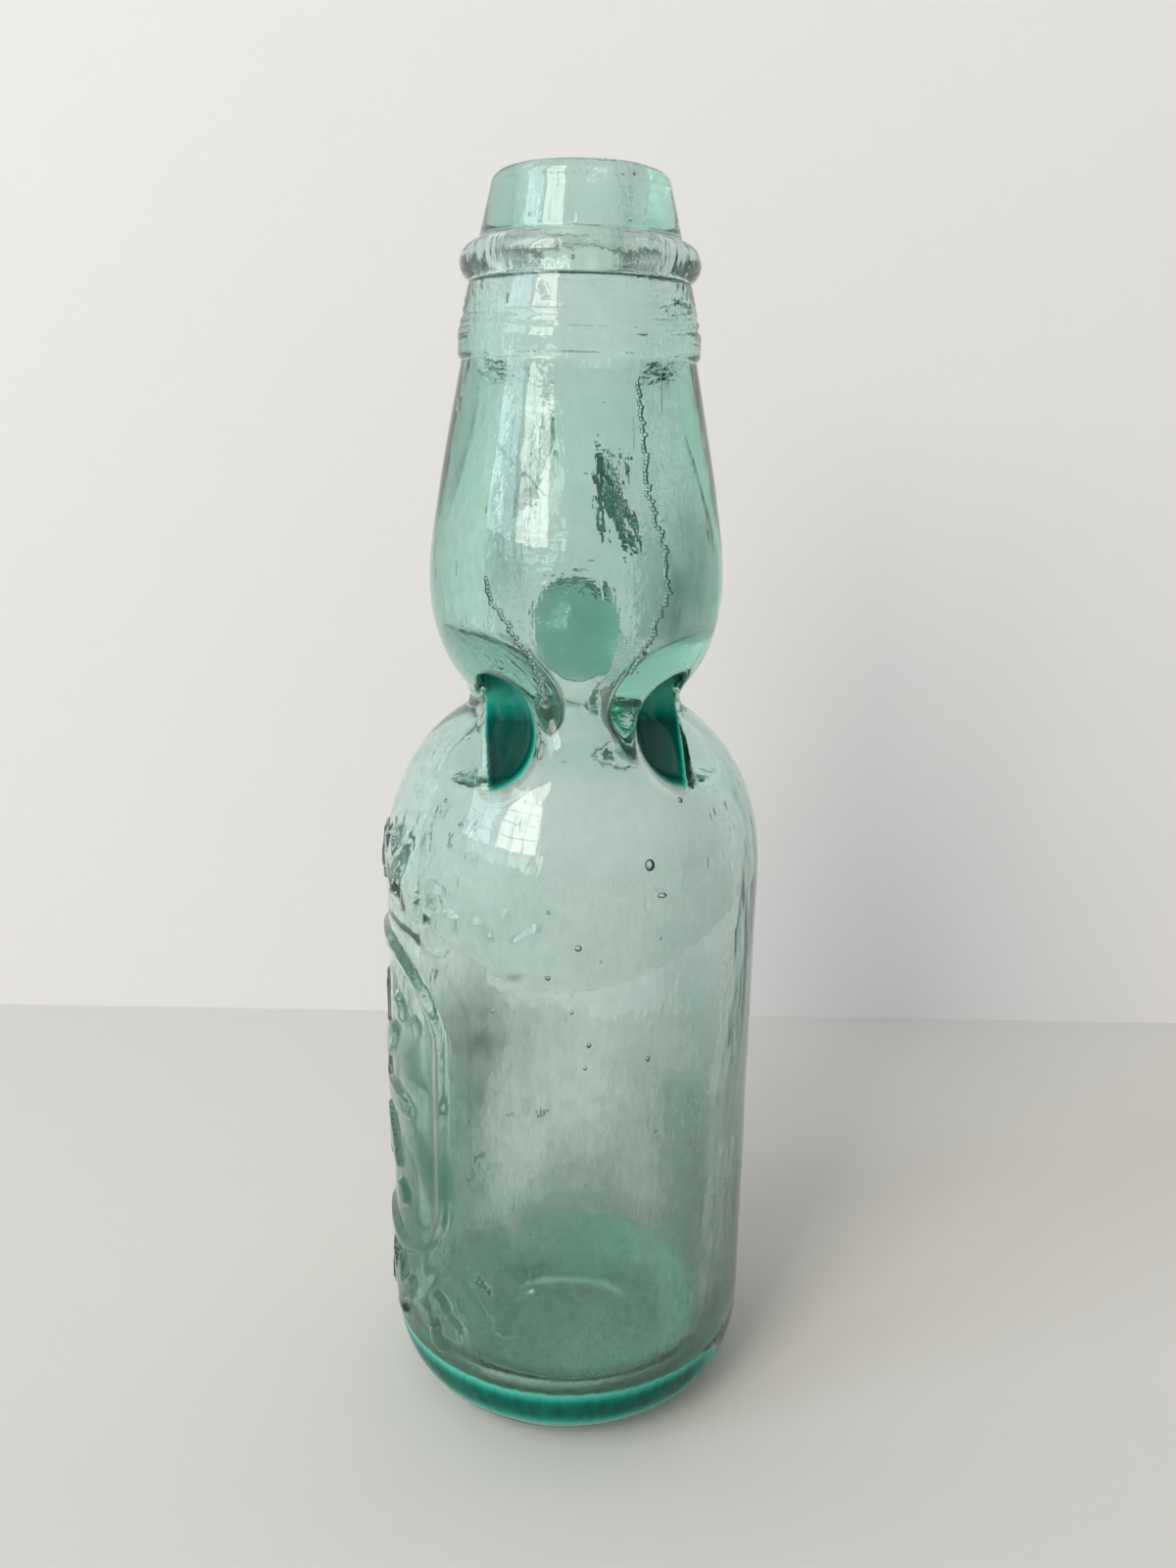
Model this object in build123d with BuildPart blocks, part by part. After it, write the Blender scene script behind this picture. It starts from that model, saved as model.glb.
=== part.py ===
# A pressed and tooled glass bottle with a marble stopper: the glass, the marble that
# lies in the neck, and the rubber ring that the marble seals against.
# Millimetres, +Z up, origin on the table at the bottle's axis. The front is -Y.
from build123d import *
from math import acos, asin, degrees, radians, cos, sin, sqrt
import os

# Body and foot
body_radius = 28.65
heel_rise = 13.0
side_height = 75.0
foot_radius = 18.4
foot_width = 3.0
push_up_rise = 2.0

# Shoulder, waist and the bulb of the marble chamber
shoulder_swell = 19.6
shoulder_reach = 25.5
waist_radius = 15.7
waist_height = 2.8
waist_round = 2.0
saddle_radius = 18.3
saddle_reach = 6.5
bulb_radius = 21.54
bulb_swell = 10.5
bulb_reach = 17.5
neck_height = 30.6
neck_top_radius = 16.6
neck_lean_share = 0.2
neck_middle_share = 0.42
neck_middle_drop_share = 0.31

# Tooled collar, bead and lip
collar_step = 0.5
collar_step_height = 0.4
collar_flat_height = 3.6
collar_height = 9.55
collar_top_radius = 15.7
tuck_depth = 0.3
tuck_height = 0.7
bead_radius = 16.7
bead_height = 5.15
bead_crown_share = 0.33
lip_base_radius = 14.2
lip_top_radius = 12.5
lip_height = 8.95
lip_round = 2.1

# Inside of the body
body_wall = 4.3
heel_wall_gain = 0.6
floor_thickness = 4.0
floor_radius = 14.0
inner_heel_rise = 9.0
shoulder_crown = 2.0
inner_shoulder_swell = 15.6
inner_shoulder_reach = 22.0
throat_radius = 12.2
throat_top_gap = 0.3

# Inside of the marble chamber and the mouth
chamber_radius = 13.8
chamber_swell = 6.0
chamber_neck_radius = 9.6
chamber_neck_share = 0.8
collar_bore_radius = 10.5
shelf_height = 9.8
groove_radius = 12.0
groove_height = 5.5
mouth_radius = 6.15
mouth_round = 0.8

# The four half-round dents that pinch the waist, two in front and two behind
dent_radius = 7.9
dent_spread = 14.6
dent_drop = 2.6
dent_lean = 38.0
dent_edge_round = 1.6
web_thickness = 8.0
web_wall = 6.0
pinch_wall = 3.5
ridge_lift = 2.4
pinch_turn = 7.5

# The two catches on the back wall of the chamber
catch_length = 14.0
catch_height = 12.0
catch_angle = 38.0
catch_lean = 10.0
dimple_radius = 2.1
dimple_depth = 3.2
dimple_tilt = 20.0
bump_radius = 1.9
bump_height = 2.5
bump_tilt = 14.0
bump_wall_share = 0.35

# Raised ornament on the -X side: a flower in a rounded border, between two arched rows
# of sprigs and rosettes
relief_height = 0.75
panel_height = 52.0
panel_reach = 26.0
panel_width_share = 0.79
panel_corner_radius = 13.0
border_stroke = 2.4
border_side_stroke = 1.5
flower_petals = 8
petal_length = 11.0
petal_width = 4.2
petal_gap = 3.0
corner_boss_radius = 2.0
corner_boss_inset = 8.0
row_rise = 36.5
row_arch_radius = 83.0
row_step = 12.0
row_pairs = 3
leaf_length = 11.0
leaf_width = 3.0
leaf_spread_angle = 38.0
rosette_radius = 2.9
rosette_petal_radius = 2.1

# Marble and sealing ring
marble_radius = 6.7
marble_clearance = 0.3
ring_bore_radius = 5.5
ring_fit = 0.1
ring_round = 0.8

overrun = 5.0

# The shallow dome of the push-up under the foot
dome_edge = foot_radius - foot_width
dome_radius = (dome_edge**2 + push_up_rise**2) / (2 * push_up_rise)
dome_angle = degrees(asin(dome_edge / dome_radius))

# Heights of the outside, from the table up
shoulder_start = heel_rise + side_height
shoulder_core = body_radius - shoulder_swell
shoulder_end_angle = degrees(acos((waist_radius - shoulder_core) / shoulder_swell))
waist_bottom = shoulder_start + shoulder_reach * sin(radians(shoulder_end_angle))
waist_top = waist_bottom + waist_height
bulb_core = bulb_radius - bulb_swell
bulb_start_angle = degrees(acos((waist_radius - bulb_core) / bulb_swell))
bulb_middle = waist_top + bulb_reach * sin(radians(bulb_start_angle))
saddle_bottom = waist_bottom - saddle_reach
saddle_top = waist_top + saddle_reach
saddle_middle = (waist_bottom + waist_top) / 2
neck_middle_radius = bulb_radius - (bulb_radius - neck_top_radius) * neck_middle_drop_share
neck_top = bulb_middle + neck_height
collar_top = neck_top + collar_height
bead_bottom = collar_top + tuck_height
bead_top = bead_bottom + bead_height
bottle_top = bead_top + lip_height

# Heights of the inside
floor_height = push_up_rise + floor_thickness
inner_body_radius = body_radius - body_wall
inner_heel_radius = inner_body_radius - heel_wall_gain
inner_heel_top = floor_height + inner_heel_rise
inner_shoulder_start = shoulder_start - shoulder_crown
inner_shoulder_core = inner_body_radius - inner_shoulder_swell
inner_shoulder_angle = degrees(acos((throat_radius - inner_shoulder_core) / inner_shoulder_swell))
throat_bottom = inner_shoulder_start + inner_shoulder_reach * sin(radians(inner_shoulder_angle))
throat_top = waist_top - throat_top_gap
chamber_core = chamber_radius - chamber_swell
chamber_start_angle = degrees(acos((throat_radius - chamber_core) / chamber_swell))
chamber_reach = (bulb_middle - throat_top) / sin(radians(chamber_start_angle))
chamber_neck_height = bulb_middle + neck_height * chamber_neck_share
groove_top = bottle_top - lip_height
groove_bottom = groove_top - groove_height
shelf_bottom = groove_bottom - shelf_height

# Dents, ridges behind them, and where the marble rests and seats
dent_middle = (waist_bottom + waist_top) / 2 - dent_drop
ridge_middle = dent_middle + ridge_lift
ridge_radius = dent_radius + pinch_wall
marble_rest = ridge_middle + sqrt(
    (ridge_radius + marble_radius + marble_clearance) ** 2 - dent_spread**2
)
ring_corner_radius = ring_bore_radius + ring_round
ring_corner_height = groove_bottom + ring_round
marble_seat = ring_corner_height - sqrt(
    (marble_radius + ring_round + marble_clearance) ** 2 - ring_corner_radius**2
)


def lower_outline(grow):
    """Draw the outline from the foot to the waist, standing proud by grow."""
    EllipticalCenterArc(
        (foot_radius, heel_rise),
        body_radius - foot_radius + grow,
        heel_rise,
        start_angle=270,
    )
    Line((body_radius + grow, heel_rise), (body_radius + grow, shoulder_start))
    EllipticalCenterArc(
        (shoulder_core + grow, shoulder_start),
        shoulder_swell,
        shoulder_reach,
        arc_size=shoulder_end_angle,
    )


def ellipse_at(core, swell, reach, rise):
    """Give an upright ellipse's radius and slope at a height above its middle."""
    share = rise / reach
    width = sqrt(1 - share**2)
    return core + swell * width, -swell / reach * share / width


def facing(turn, height, distance):
    """Make an upright plane that looks out at turn from -X to the front, off the axis."""
    angle = radians(turn)
    outward = Vector(-cos(angle), -sin(angle), 0)
    upright = Plane((0, 0, height), x_dir=(sin(angle), -cos(angle), 0), z_dir=outward)
    return upright.offset(distance)


def is_waist_ring(edge):
    """Tell the two creases at the ends of the waist from the other rings."""
    height = edge.center(CenterOf.BOUNDING_BOX).Z
    return waist_bottom - waist_round < height < waist_top + waist_round


def catch_bar(inset, radius, tilt):
    """Build two round-ended bars that lean along the back wall, one on each side."""
    for side in (1, -1):
        turn = pinch_turn - side * catch_angle
        stand = Location((0, 0, bulb_middle + catch_height), (0, 0, turn))
        with Locations(stand * Location((0, inset, 0), (catch_lean, -side * tilt, 0))):
            Cylinder(radius, catch_length)
            with Locations((0, 0, catch_length / 2), (0, 0, -catch_length / 2)):
                Sphere(radius)


# The outside of the glass, turned about the bottle's axis
with BuildPart() as outside:
    with BuildSketch(Plane.XZ):
        with BuildLine():
            CenterArc(
                (0, push_up_rise - dome_radius),
                dome_radius,
                start_angle=90 - dome_angle,
                arc_size=dome_angle,
            )
            Line((dome_edge, 0), (foot_radius, 0))
            lower_outline(0)
            Line((waist_radius, waist_bottom), (waist_radius, waist_top))
            EllipticalCenterArc(
                (bulb_core, bulb_middle),
                bulb_swell,
                bulb_reach,
                start_angle=-bulb_start_angle,
                arc_size=bulb_start_angle,
            )
            Spline(
                (bulb_radius, bulb_middle),
                (neck_middle_radius, bulb_middle + neck_height * neck_middle_share),
                (neck_top_radius, neck_top),
                tangents=((0, 1), (-neck_lean_share, 1)),
            )
            collar_radius = neck_top_radius + collar_step
            Polyline(
                (neck_top_radius, neck_top),
                (collar_radius, neck_top + collar_step_height),
                (collar_radius, neck_top + collar_flat_height),
                (collar_top_radius, collar_top),
                (collar_top_radius - tuck_depth, bead_bottom),
            )
            ThreePointArc(
                (collar_top_radius - tuck_depth, bead_bottom),
                (bead_radius, bead_bottom + bead_height * bead_crown_share),
                (lip_base_radius, bead_top),
            )
            Line((lip_base_radius, bead_top), (lip_top_radius, bottle_top - lip_round))
            EllipticalCenterArc(
                (lip_top_radius - lip_round, bottle_top - lip_round),
                lip_round,
                lip_round,
            )
            Polyline(
                (lip_top_radius - lip_round, bottle_top),
                (0, bottle_top),
                (0, push_up_rise),
            )
        make_face()
    revolve(axis=Axis.Z)
    waist_rings = outside.edges().filter_by(GeomType.CIRCLE).group_by(SortBy.RADIUS)
    creases = [ring for group in waist_rings for ring in group if is_waist_ring(ring)]
    fillet(creases, waist_round)

# The fuller front and back of the waist: a smooth saddle between the dents
shoulder_edge, shoulder_slope = ellipse_at(
    shoulder_core, shoulder_swell, shoulder_reach, saddle_bottom - shoulder_start
)
bulb_edge, bulb_slope = ellipse_at(bulb_core, bulb_swell, bulb_reach, saddle_top - bulb_middle)
with BuildPart() as saddle:
    with BuildSketch(Plane.XZ):
        with BuildLine():
            Spline(
                (shoulder_edge, saddle_bottom),
                (saddle_radius, saddle_middle),
                (bulb_edge, saddle_top),
                tangents=((shoulder_slope, 1), (bulb_slope, 1)),
            )
            Polyline(
                (bulb_edge, saddle_top),
                (0, saddle_top),
                (0, saddle_bottom),
                (shoulder_edge, saddle_bottom),
            )
        make_face()
    revolve(axis=Axis.Z)
    with BuildSketch(Plane.XY.offset(saddle_bottom)):
        Rectangle(2 * dent_spread, 2 * body_radius)
    extrude(amount=saddle_top - saddle_bottom, mode=Mode.INTERSECT)

# A copy of the lower outside that stands proud by the height of the ornament
with BuildPart() as relief_limit:
    with BuildSketch(Plane.XZ):
        with BuildLine():
            lower_outline(relief_height)
            Polyline(
                (waist_radius + relief_height, waist_bottom),
                (0, waist_bottom),
                (0, 0),
                (foot_radius, 0),
            )
        make_face()
    revolve(axis=Axis.Z)

# The ornament, drawn flat, pushed out and cut to that outline
panel_width = body_radius * panel_width_share
boss_across = panel_width - border_side_stroke - corner_boss_inset
boss_up = panel_reach - border_stroke - corner_boss_inset
with BuildPart() as relief:
    with BuildSketch(facing(0, panel_height, 0)):
        RectangleRounded(2 * panel_width, 2 * panel_reach, panel_corner_radius)
        RectangleRounded(
            2 * (panel_width - border_side_stroke),
            2 * (panel_reach - border_stroke),
            panel_corner_radius - border_stroke,
            mode=Mode.SUBTRACT,
        )
        Circle(petal_gap)
        with PolarLocations(petal_gap * 2 + petal_length / 2, flower_petals):
            Ellipse(petal_length / 2, petal_width / 2)
        with GridLocations(2 * boss_across, 2 * boss_up, 2, 2):
            Circle(corner_boss_radius)
    extrude(amount=body_radius + overrun)
    for step in range(-row_pairs, row_pairs + 1):
        across = step * row_step
        turn = degrees(across / body_radius)
        drop = row_arch_radius - sqrt(row_arch_radius**2 - across**2)
        for up in (1, -1):
            row_height = panel_height + up * (row_rise - drop)
            with BuildSketch(facing(turn, row_height, inner_body_radius)):
                if step % 2 == 0:
                    with PolarLocations(rosette_radius, 4):
                        Circle(rosette_petal_radius)
                else:
                    with PolarLocations(0, 3, 90 - leaf_spread_angle, 3 * leaf_spread_angle):
                        with Locations((leaf_length / 4, 0)):
                            Ellipse(leaf_length / 2, leaf_width / 2)
            extrude(amount=body_wall + overrun)
    add(relief_limit.part, mode=Mode.INTERSECT)

# Everything hollow: the body, the throat, the marble chamber, the ring groove, the mouth
with BuildPart() as hollow:
    with BuildSketch(Plane.XZ):
        with BuildLine():
            Line((0, floor_height), (floor_radius, floor_height))
            EllipticalCenterArc(
                (floor_radius, inner_heel_top),
                inner_heel_radius - floor_radius,
                inner_heel_rise,
                start_angle=270,
            )
            Line((inner_heel_radius, inner_heel_top), (inner_body_radius, inner_shoulder_start))
            EllipticalCenterArc(
                (inner_shoulder_core, inner_shoulder_start),
                inner_shoulder_swell,
                inner_shoulder_reach,
                arc_size=inner_shoulder_angle,
            )
            Line((throat_radius, throat_bottom), (throat_radius, throat_top))
            EllipticalCenterArc(
                (chamber_core, bulb_middle),
                chamber_swell,
                chamber_reach,
                start_angle=-chamber_start_angle,
                arc_size=chamber_start_angle,
            )
            Spline(
                (chamber_radius, bulb_middle),
                (chamber_neck_radius, chamber_neck_height),
                (collar_bore_radius, shelf_bottom),
                tangents=((0, 1), (0, 1)),
            )
            Polyline(
                (collar_bore_radius, shelf_bottom),
                (collar_bore_radius, groove_bottom),
                (groove_radius, groove_bottom),
                (groove_radius, groove_top),
                (mouth_radius, groove_top),
                (mouth_radius, bottle_top - mouth_round),
            )
            EllipticalCenterArc(
                (mouth_radius + mouth_round, bottle_top - mouth_round),
                mouth_round,
                mouth_round,
                start_angle=90,
            )
            Polyline(
                (mouth_radius + mouth_round, bottle_top),
                (mouth_radius + mouth_round, bottle_top + overrun),
                (0, bottle_top + overrun),
                (0, floor_height),
            )
        make_face()
    revolve(axis=Axis.Z)


# The floors of the half-round dents lean out with the shoulder
floor_lean = radians(dent_lean)
dent_floor = Plane(
    (0, -web_thickness / 2, dent_middle + dent_radius), z_dir=(0, -cos(floor_lean), sin(floor_lean))
)

# The glass behind the dents stands into the hollow as ridges that narrow the throat, and
# so do the bumps of the catches
with BuildPart() as ridges:
    with BuildSketch(Plane.XZ.offset(-bulb_radius)):
        with Locations((dent_spread, ridge_middle)):
            Circle(ridge_radius)
            with Locations((pinch_wall, 0)):
                Rectangle(
                    ridge_radius,
                    2 * ridge_radius,
                    align=(Align.MIN, Align.CENTER),
                    mode=Mode.SUBTRACT,
                )
    extrude(amount=bulb_radius + body_radius)
    split(bisect_by=dent_floor.offset(-web_wall))
    mirror(about=Plane.YZ)
    mirror(about=Plane.XZ)

bump_wall = chamber_neck_radius + (chamber_radius - chamber_neck_radius) * bump_wall_share
with BuildPart() as bumps:
    catch_bar(bump_wall - bump_height + bump_radius, bump_radius, bump_tilt)

with BuildPart() as cavity:
    add(hollow.part)
    add(ridges.part.rotate(Axis.Z, pinch_turn), mode=Mode.SUBTRACT)
    add(bumps.part, mode=Mode.SUBTRACT)

# The half-round dents, pressed towards a web of solid glass from the front and the back
with BuildPart() as dents:
    with BuildSketch(Plane.XZ.offset(web_thickness / 2)):
        with Locations((dent_spread, dent_middle)):
            Circle(dent_radius)
            Rectangle(
                dent_radius,
                2 * dent_radius,
                align=(Align.MIN, Align.CENTER),
                mode=Mode.SUBTRACT,
            )
    extrude(amount=body_radius)
    split(bisect_by=dent_floor)
    fillet(dents.faces().sort_by(Axis.Y)[-1].edges(), dent_edge_round)
    mirror(about=Plane.YZ)
    mirror(about=Plane.XZ)

# The dimples that the catches leave in the outside
with BuildPart() as dimples:
    catch_bar(neck_middle_radius - dimple_depth + dimple_radius, dimple_radius, dimple_tilt)

with BuildPart() as bottle:
    add(outside.part)
    add(saddle.part.rotate(Axis.Z, pinch_turn))
    add(relief.part)
    add(dents.part.rotate(Axis.Z, pinch_turn), mode=Mode.SUBTRACT)
    add(dimples.part, mode=Mode.SUBTRACT)
    add(cavity.part, mode=Mode.SUBTRACT)

with BuildPart() as marble:
    with Locations((0, 0, marble_rest)):
        Sphere(marble_radius)

ring_width = groove_radius - ring_fit - ring_bore_radius
ring_height = groove_height - ring_fit
with BuildPart() as seal_ring:
    with BuildSketch(Plane.XZ):
        with Locations((ring_bore_radius + ring_width / 2, groove_bottom + ring_height / 2)):
            RectangleRounded(ring_width, ring_height, ring_round)
    revolve(axis=Axis.Z)

os.makedirs("parts", exist_ok=True)
bottle.part.label = "bottle"
marble.part.label = "marble"
seal_ring.part.label = "seal_ring"
export_step(bottle.part, "parts/bottle.step")
export_step(marble.part, "parts/marble.step")
export_step(seal_ring.part, "parts/seal_ring.step")

print("marble rests at", round(marble_rest, 2), "and seats at", round(marble_seat, 2))
print("top of the bottle", round(bottle_top, 2))
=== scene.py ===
# The look of a small pressed glass bottle with a marble in its neck and a rubber ring in
# its mouth. Metres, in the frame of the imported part: +Z up, the front is -Y.
from math import asin, acos, atan2, ceil, cos, hypot, pi, radians, sin, sqrt, tan

import bpy
import numpy as np
from mathutils import Matrix, Vector, noise


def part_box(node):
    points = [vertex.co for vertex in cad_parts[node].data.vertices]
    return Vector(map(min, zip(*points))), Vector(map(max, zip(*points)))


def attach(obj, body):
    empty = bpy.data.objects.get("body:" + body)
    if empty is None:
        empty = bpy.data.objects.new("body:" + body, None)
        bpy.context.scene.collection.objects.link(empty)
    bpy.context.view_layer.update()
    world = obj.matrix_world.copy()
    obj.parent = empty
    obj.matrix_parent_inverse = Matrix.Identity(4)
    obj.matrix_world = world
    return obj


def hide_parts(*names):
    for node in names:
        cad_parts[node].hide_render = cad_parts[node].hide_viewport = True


bl_info = {
    "name": "Marble Stopper Bottle",
    "version": (1, 0, 0),
    "blender": (4, 5, 0),
    "location": "3D View > Sidebar > Bottle",
    "description": "Builds the glass, the marble, the sealing ring and a plain stage",
    "category": "Add Mesh",
}

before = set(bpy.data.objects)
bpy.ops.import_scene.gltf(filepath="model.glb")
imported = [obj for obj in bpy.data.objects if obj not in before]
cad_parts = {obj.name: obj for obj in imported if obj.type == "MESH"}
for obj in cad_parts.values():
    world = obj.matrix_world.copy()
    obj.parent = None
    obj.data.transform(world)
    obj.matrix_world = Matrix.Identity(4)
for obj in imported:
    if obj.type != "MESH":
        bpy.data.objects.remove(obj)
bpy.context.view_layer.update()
MM = 0.001

# What the frame fixes: the body, the height, the ring's groove and the marble's place
glass_low, glass_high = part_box("bottle")
ring_low, ring_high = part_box("seal_ring")
marble_low, marble_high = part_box("marble")
BODY_RADIUS = glass_high.x
BOTTLE_TOP = glass_high.z
RELIEF_HEIGHT = -glass_low.x - BODY_RADIUS
GROOVE_BOTTOM = ring_low.z
MARBLE_RADIUS = (marble_high.z - marble_low.z) / 2
MARBLE_MIDDLE = (marble_high.z + marble_low.z) / 2

# Outline of the outside
HEEL_RISE = 13 * MM
SIDE_HEIGHT = 75 * MM
FOOT_RADIUS = 18.4 * MM
FOOT_WIDTH = 3 * MM
PUSH_UP_RISE = 2 * MM
SHOULDER_SWELL = 19.6 * MM
SHOULDER_REACH = 25.5 * MM
WAIST_RADIUS = 15.7 * MM
WAIST_HEIGHT = 2.8 * MM
WAIST_ZONE = 12 * MM
SADDLE_RADIUS = 18.3 * MM
SADDLE_REACH = 6.5 * MM
SADDLE_BLEND = 3.5 * MM
BULB_RADIUS = 21.54 * MM
BULB_SWELL = 10.5 * MM
BULB_REACH = 17.5 * MM
NECK_HEIGHT = 30.6 * MM
NECK_TOP_RADIUS = 16.6 * MM
NECK_LEAN_SHARE = 0.2
NECK_MIDDLE_SHARE = 0.42
NECK_MIDDLE_DROP_SHARE = 0.31
COLLAR_STEP = 0.5 * MM
COLLAR_STEP_HEIGHT = 0.4 * MM
COLLAR_FLAT_HEIGHT = 3.6 * MM
COLLAR_HEIGHT = 9.55 * MM
COLLAR_TOP_RADIUS = 15.7 * MM
TUCK_DEPTH = 0.3 * MM
TUCK_HEIGHT = 0.7 * MM
BEAD_RADIUS = 16.7 * MM
BEAD_HEIGHT = 5.15 * MM
BEAD_CROWN_SHARE = 0.33
LIP_BASE_RADIUS = 14.2 * MM
LIP_TOP_RADIUS = 12.5 * MM
LIP_HEIGHT = 8.95 * MM
LIP_ROUND = 2.1 * MM

# Outline of the inside
HEEL_WALL_GAIN = 0.6 * MM
FLOOR_THICKNESS = 4 * MM
FLOOR_RADIUS = 14 * MM
INNER_HEEL_RISE = 9 * MM
SHOULDER_CROWN = 2 * MM
INNER_SHOULDER_SWELL = 15.6 * MM
INNER_SHOULDER_REACH = 22 * MM
THROAT_RADIUS = 12.2 * MM
THROAT_TOP_GAP = 0.3 * MM
CHAMBER_RADIUS = 13.8 * MM
CHAMBER_SWELL = 6 * MM
CHAMBER_NECK_RADIUS = 9.6 * MM
CHAMBER_NECK_SHARE = 0.8
COLLAR_BORE_RADIUS = 10.5 * MM
SHELF_HEIGHT = 9.8 * MM
GROOVE_RADIUS = 12 * MM
MOUTH_RADIUS = 6.15 * MM
MOUTH_ROUND = 0.8 * MM

# Dents of the pinched waist, the ridges behind them and how their edges are evened out
DENT_SPREAD = 14.6 * MM
DENT_DROP = 2.6 * MM
DENT_LEAN = radians(38)
WEB_THICKNESS = 8 * MM
WEB_WALL = 6 * MM
PINCH_WALL = 3.5 * MM
RIDGE_LIFT = 2.4 * MM
PINCH_TURN = radians(7.5)
RIDGE_START = (-2 * MM, 2 * MM)
RELAX_REACH = (2.4 * MM, 0.8 * MM)
RELAX_STEP = 0.6
# Painted shade in the front dents: the shares of the way down a dent's wall at which it starts and
# is full, and how much more its top fades on the right
DARK_FROM_EDGE = (0.25, 0.95)
RIGHT_FADE_GAIN = 1.3

# Catches on the back wall of the marble chamber: side, turn, height, length, firmness
CATCHES = ((1, radians(40), 11 * MM, 12.5 * MM, 0.8), (-1, radians(34), 16.8 * MM, 9.5 * MM, 0.6))
CATCH_BOW = 1.5 * MM
CATCH_LEAN = radians(16.5)
CATCH_RADIUS = 1.9 * MM
CATCH_DEPTH = 2.6 * MM
CATCH_BUMP = 1.9 * MM
CATCH_FULLNESS = 0.8
# Painted shade on the catches: the share of a catch's full press at which it starts and at which
# it is full
CATCH_DARK = (0.15, 0.7)

# Ornament: a flower in a rounded border, between two arched rows of sprigs and rosettes
PANEL_HEIGHT = 52 * MM
PANEL_REACH = 26 * MM
PANEL_WIDTH = BODY_RADIUS * 0.79
PANEL_CORNER = 13 * MM
BORDER_STROKE = 2.4 * MM
BORDER_SIDE_STROKE = 1.5 * MM
PETAL_COUNT = 8
PETAL_LENGTH = 11 * MM
PETAL_WIDTH = 4.2 * MM
PETAL_GAP = 3 * MM
BOSS_RADIUS = 2 * MM
BOSS_INSET = 8 * MM
ROW_RISE = 36.5 * MM
ROW_ARCH = 83 * MM
ROW_STEP = 12 * MM
ROW_PAIRS = 3
LEAF_LENGTH = 11 * MM
LEAF_WIDTH = 3 * MM
LEAF_SPREAD = radians(38)
ROSETTE_RADIUS = 2.9 * MM
ROSETTE_PETAL = 2.1 * MM

# Heights worked out from the sizes
SHOULDER_START = HEEL_RISE + SIDE_HEIGHT
SHOULDER_CORE = BODY_RADIUS - SHOULDER_SWELL
SHOULDER_TURN = acos((WAIST_RADIUS - SHOULDER_CORE) / SHOULDER_SWELL)
WAIST_BOTTOM = SHOULDER_START + SHOULDER_REACH * sin(SHOULDER_TURN)
WAIST_TOP = WAIST_BOTTOM + WAIST_HEIGHT
BULB_CORE = BULB_RADIUS - BULB_SWELL
BULB_TURN = acos((WAIST_RADIUS - BULB_CORE) / BULB_SWELL)
BULB_MIDDLE = WAIST_TOP + BULB_REACH * sin(BULB_TURN)
NECK_MIDDLE_RADIUS = BULB_RADIUS - (BULB_RADIUS - NECK_TOP_RADIUS) * NECK_MIDDLE_DROP_SHARE
NECK_TOP = BULB_MIDDLE + NECK_HEIGHT
COLLAR_TOP = NECK_TOP + COLLAR_HEIGHT
BEAD_BOTTOM = COLLAR_TOP + TUCK_HEIGHT
BEAD_TOP = BEAD_BOTTOM + BEAD_HEIGHT
SHELF_BOTTOM = GROOVE_BOTTOM - SHELF_HEIGHT
WAIST_MIDDLE = (WAIST_BOTTOM + WAIST_TOP) / 2
DENT_MIDDLE = WAIST_MIDDLE - DENT_DROP
SADDLE_BOTTOM = WAIST_BOTTOM - SADDLE_REACH
SADDLE_TOP = WAIST_TOP + SADDLE_REACH

# How finely the glass is meshed: extra columns at the ornament and round the dents, and rows
# as pairs of the height up to which a spacing holds and the spacing
FINE = 0.05 * MM
OUTER_COLUMNS = 192
INNER_COLUMNS = OUTER_COLUMNS // 2
ANGLE_SAMPLES = 3601
ORNAMENT_CROWDING = 1.4
ORNAMENT_CROWDED = (radians(90), radians(80))
CROWDING_FADE = 12 * MM
DENT_CROWDING = 1.6
DENTS_FROM_PINCH = radians(45)
DENTS_CROWDED = (radians(30), radians(20))
CROWDED_OVER_DENTS = (18 * MM, 10 * MM)
OUTER_SPACING = (
    (8 * MM, 1.1 * MM),
    (92 * MM, 0.55 * MM),
    (102 * MM, 0.9 * MM),
    (122 * MM, 0.42 * MM),
    (NECK_TOP - 1.5 * MM, 0.95 * MM),
    (NECK_TOP + 1.5 * MM, 0.3 * MM),
    (1, 0.45 * MM),
)
INNER_SPACING = (
    (26 * MM, 1.3 * MM),
    (86 * MM, 1.6 * MM),
    (103 * MM, 1.1 * MM),
    (122 * MM, 0.6 * MM),
    (165 * MM, 0.9 * MM),
    (1, 0.7 * MM),
)

# Heights over which marks of the glass start, and how much calmer the collar is
COLLAR_CALM = 0.7
COLLAR_CALM_OVER = (NECK_TOP - 2 * MM, NECK_TOP + 3 * MM)
OUTER_WAVES_OVER = (1 * MM, 12 * MM)
INNER_WAVES_OVER = (12 * MM, 26 * MM)
CHATTER_OVER = (116 * MM, 126 * MM)
WORKED_OVER = (114 * MM, 124 * MM)

# Edge of the ornament, softer behind, and the two lap lines of the collar
RELIEF_EDGE = (0.15 * MM, -0.3 * MM)
RELIEF_BEHIND = (-2 * MM, 6 * MM)
RELIEF_BLUR = 4
LAP_REACH = 0.7 * MM
LAP_SHARE = 0.6
LAP_SWING = 0.4
SECOND_LAP_RISE = 1.7 * MM
SECOND_LAP_REACH = 0.6 * MM
SECOND_LAP_SHARE = 0.6

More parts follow.
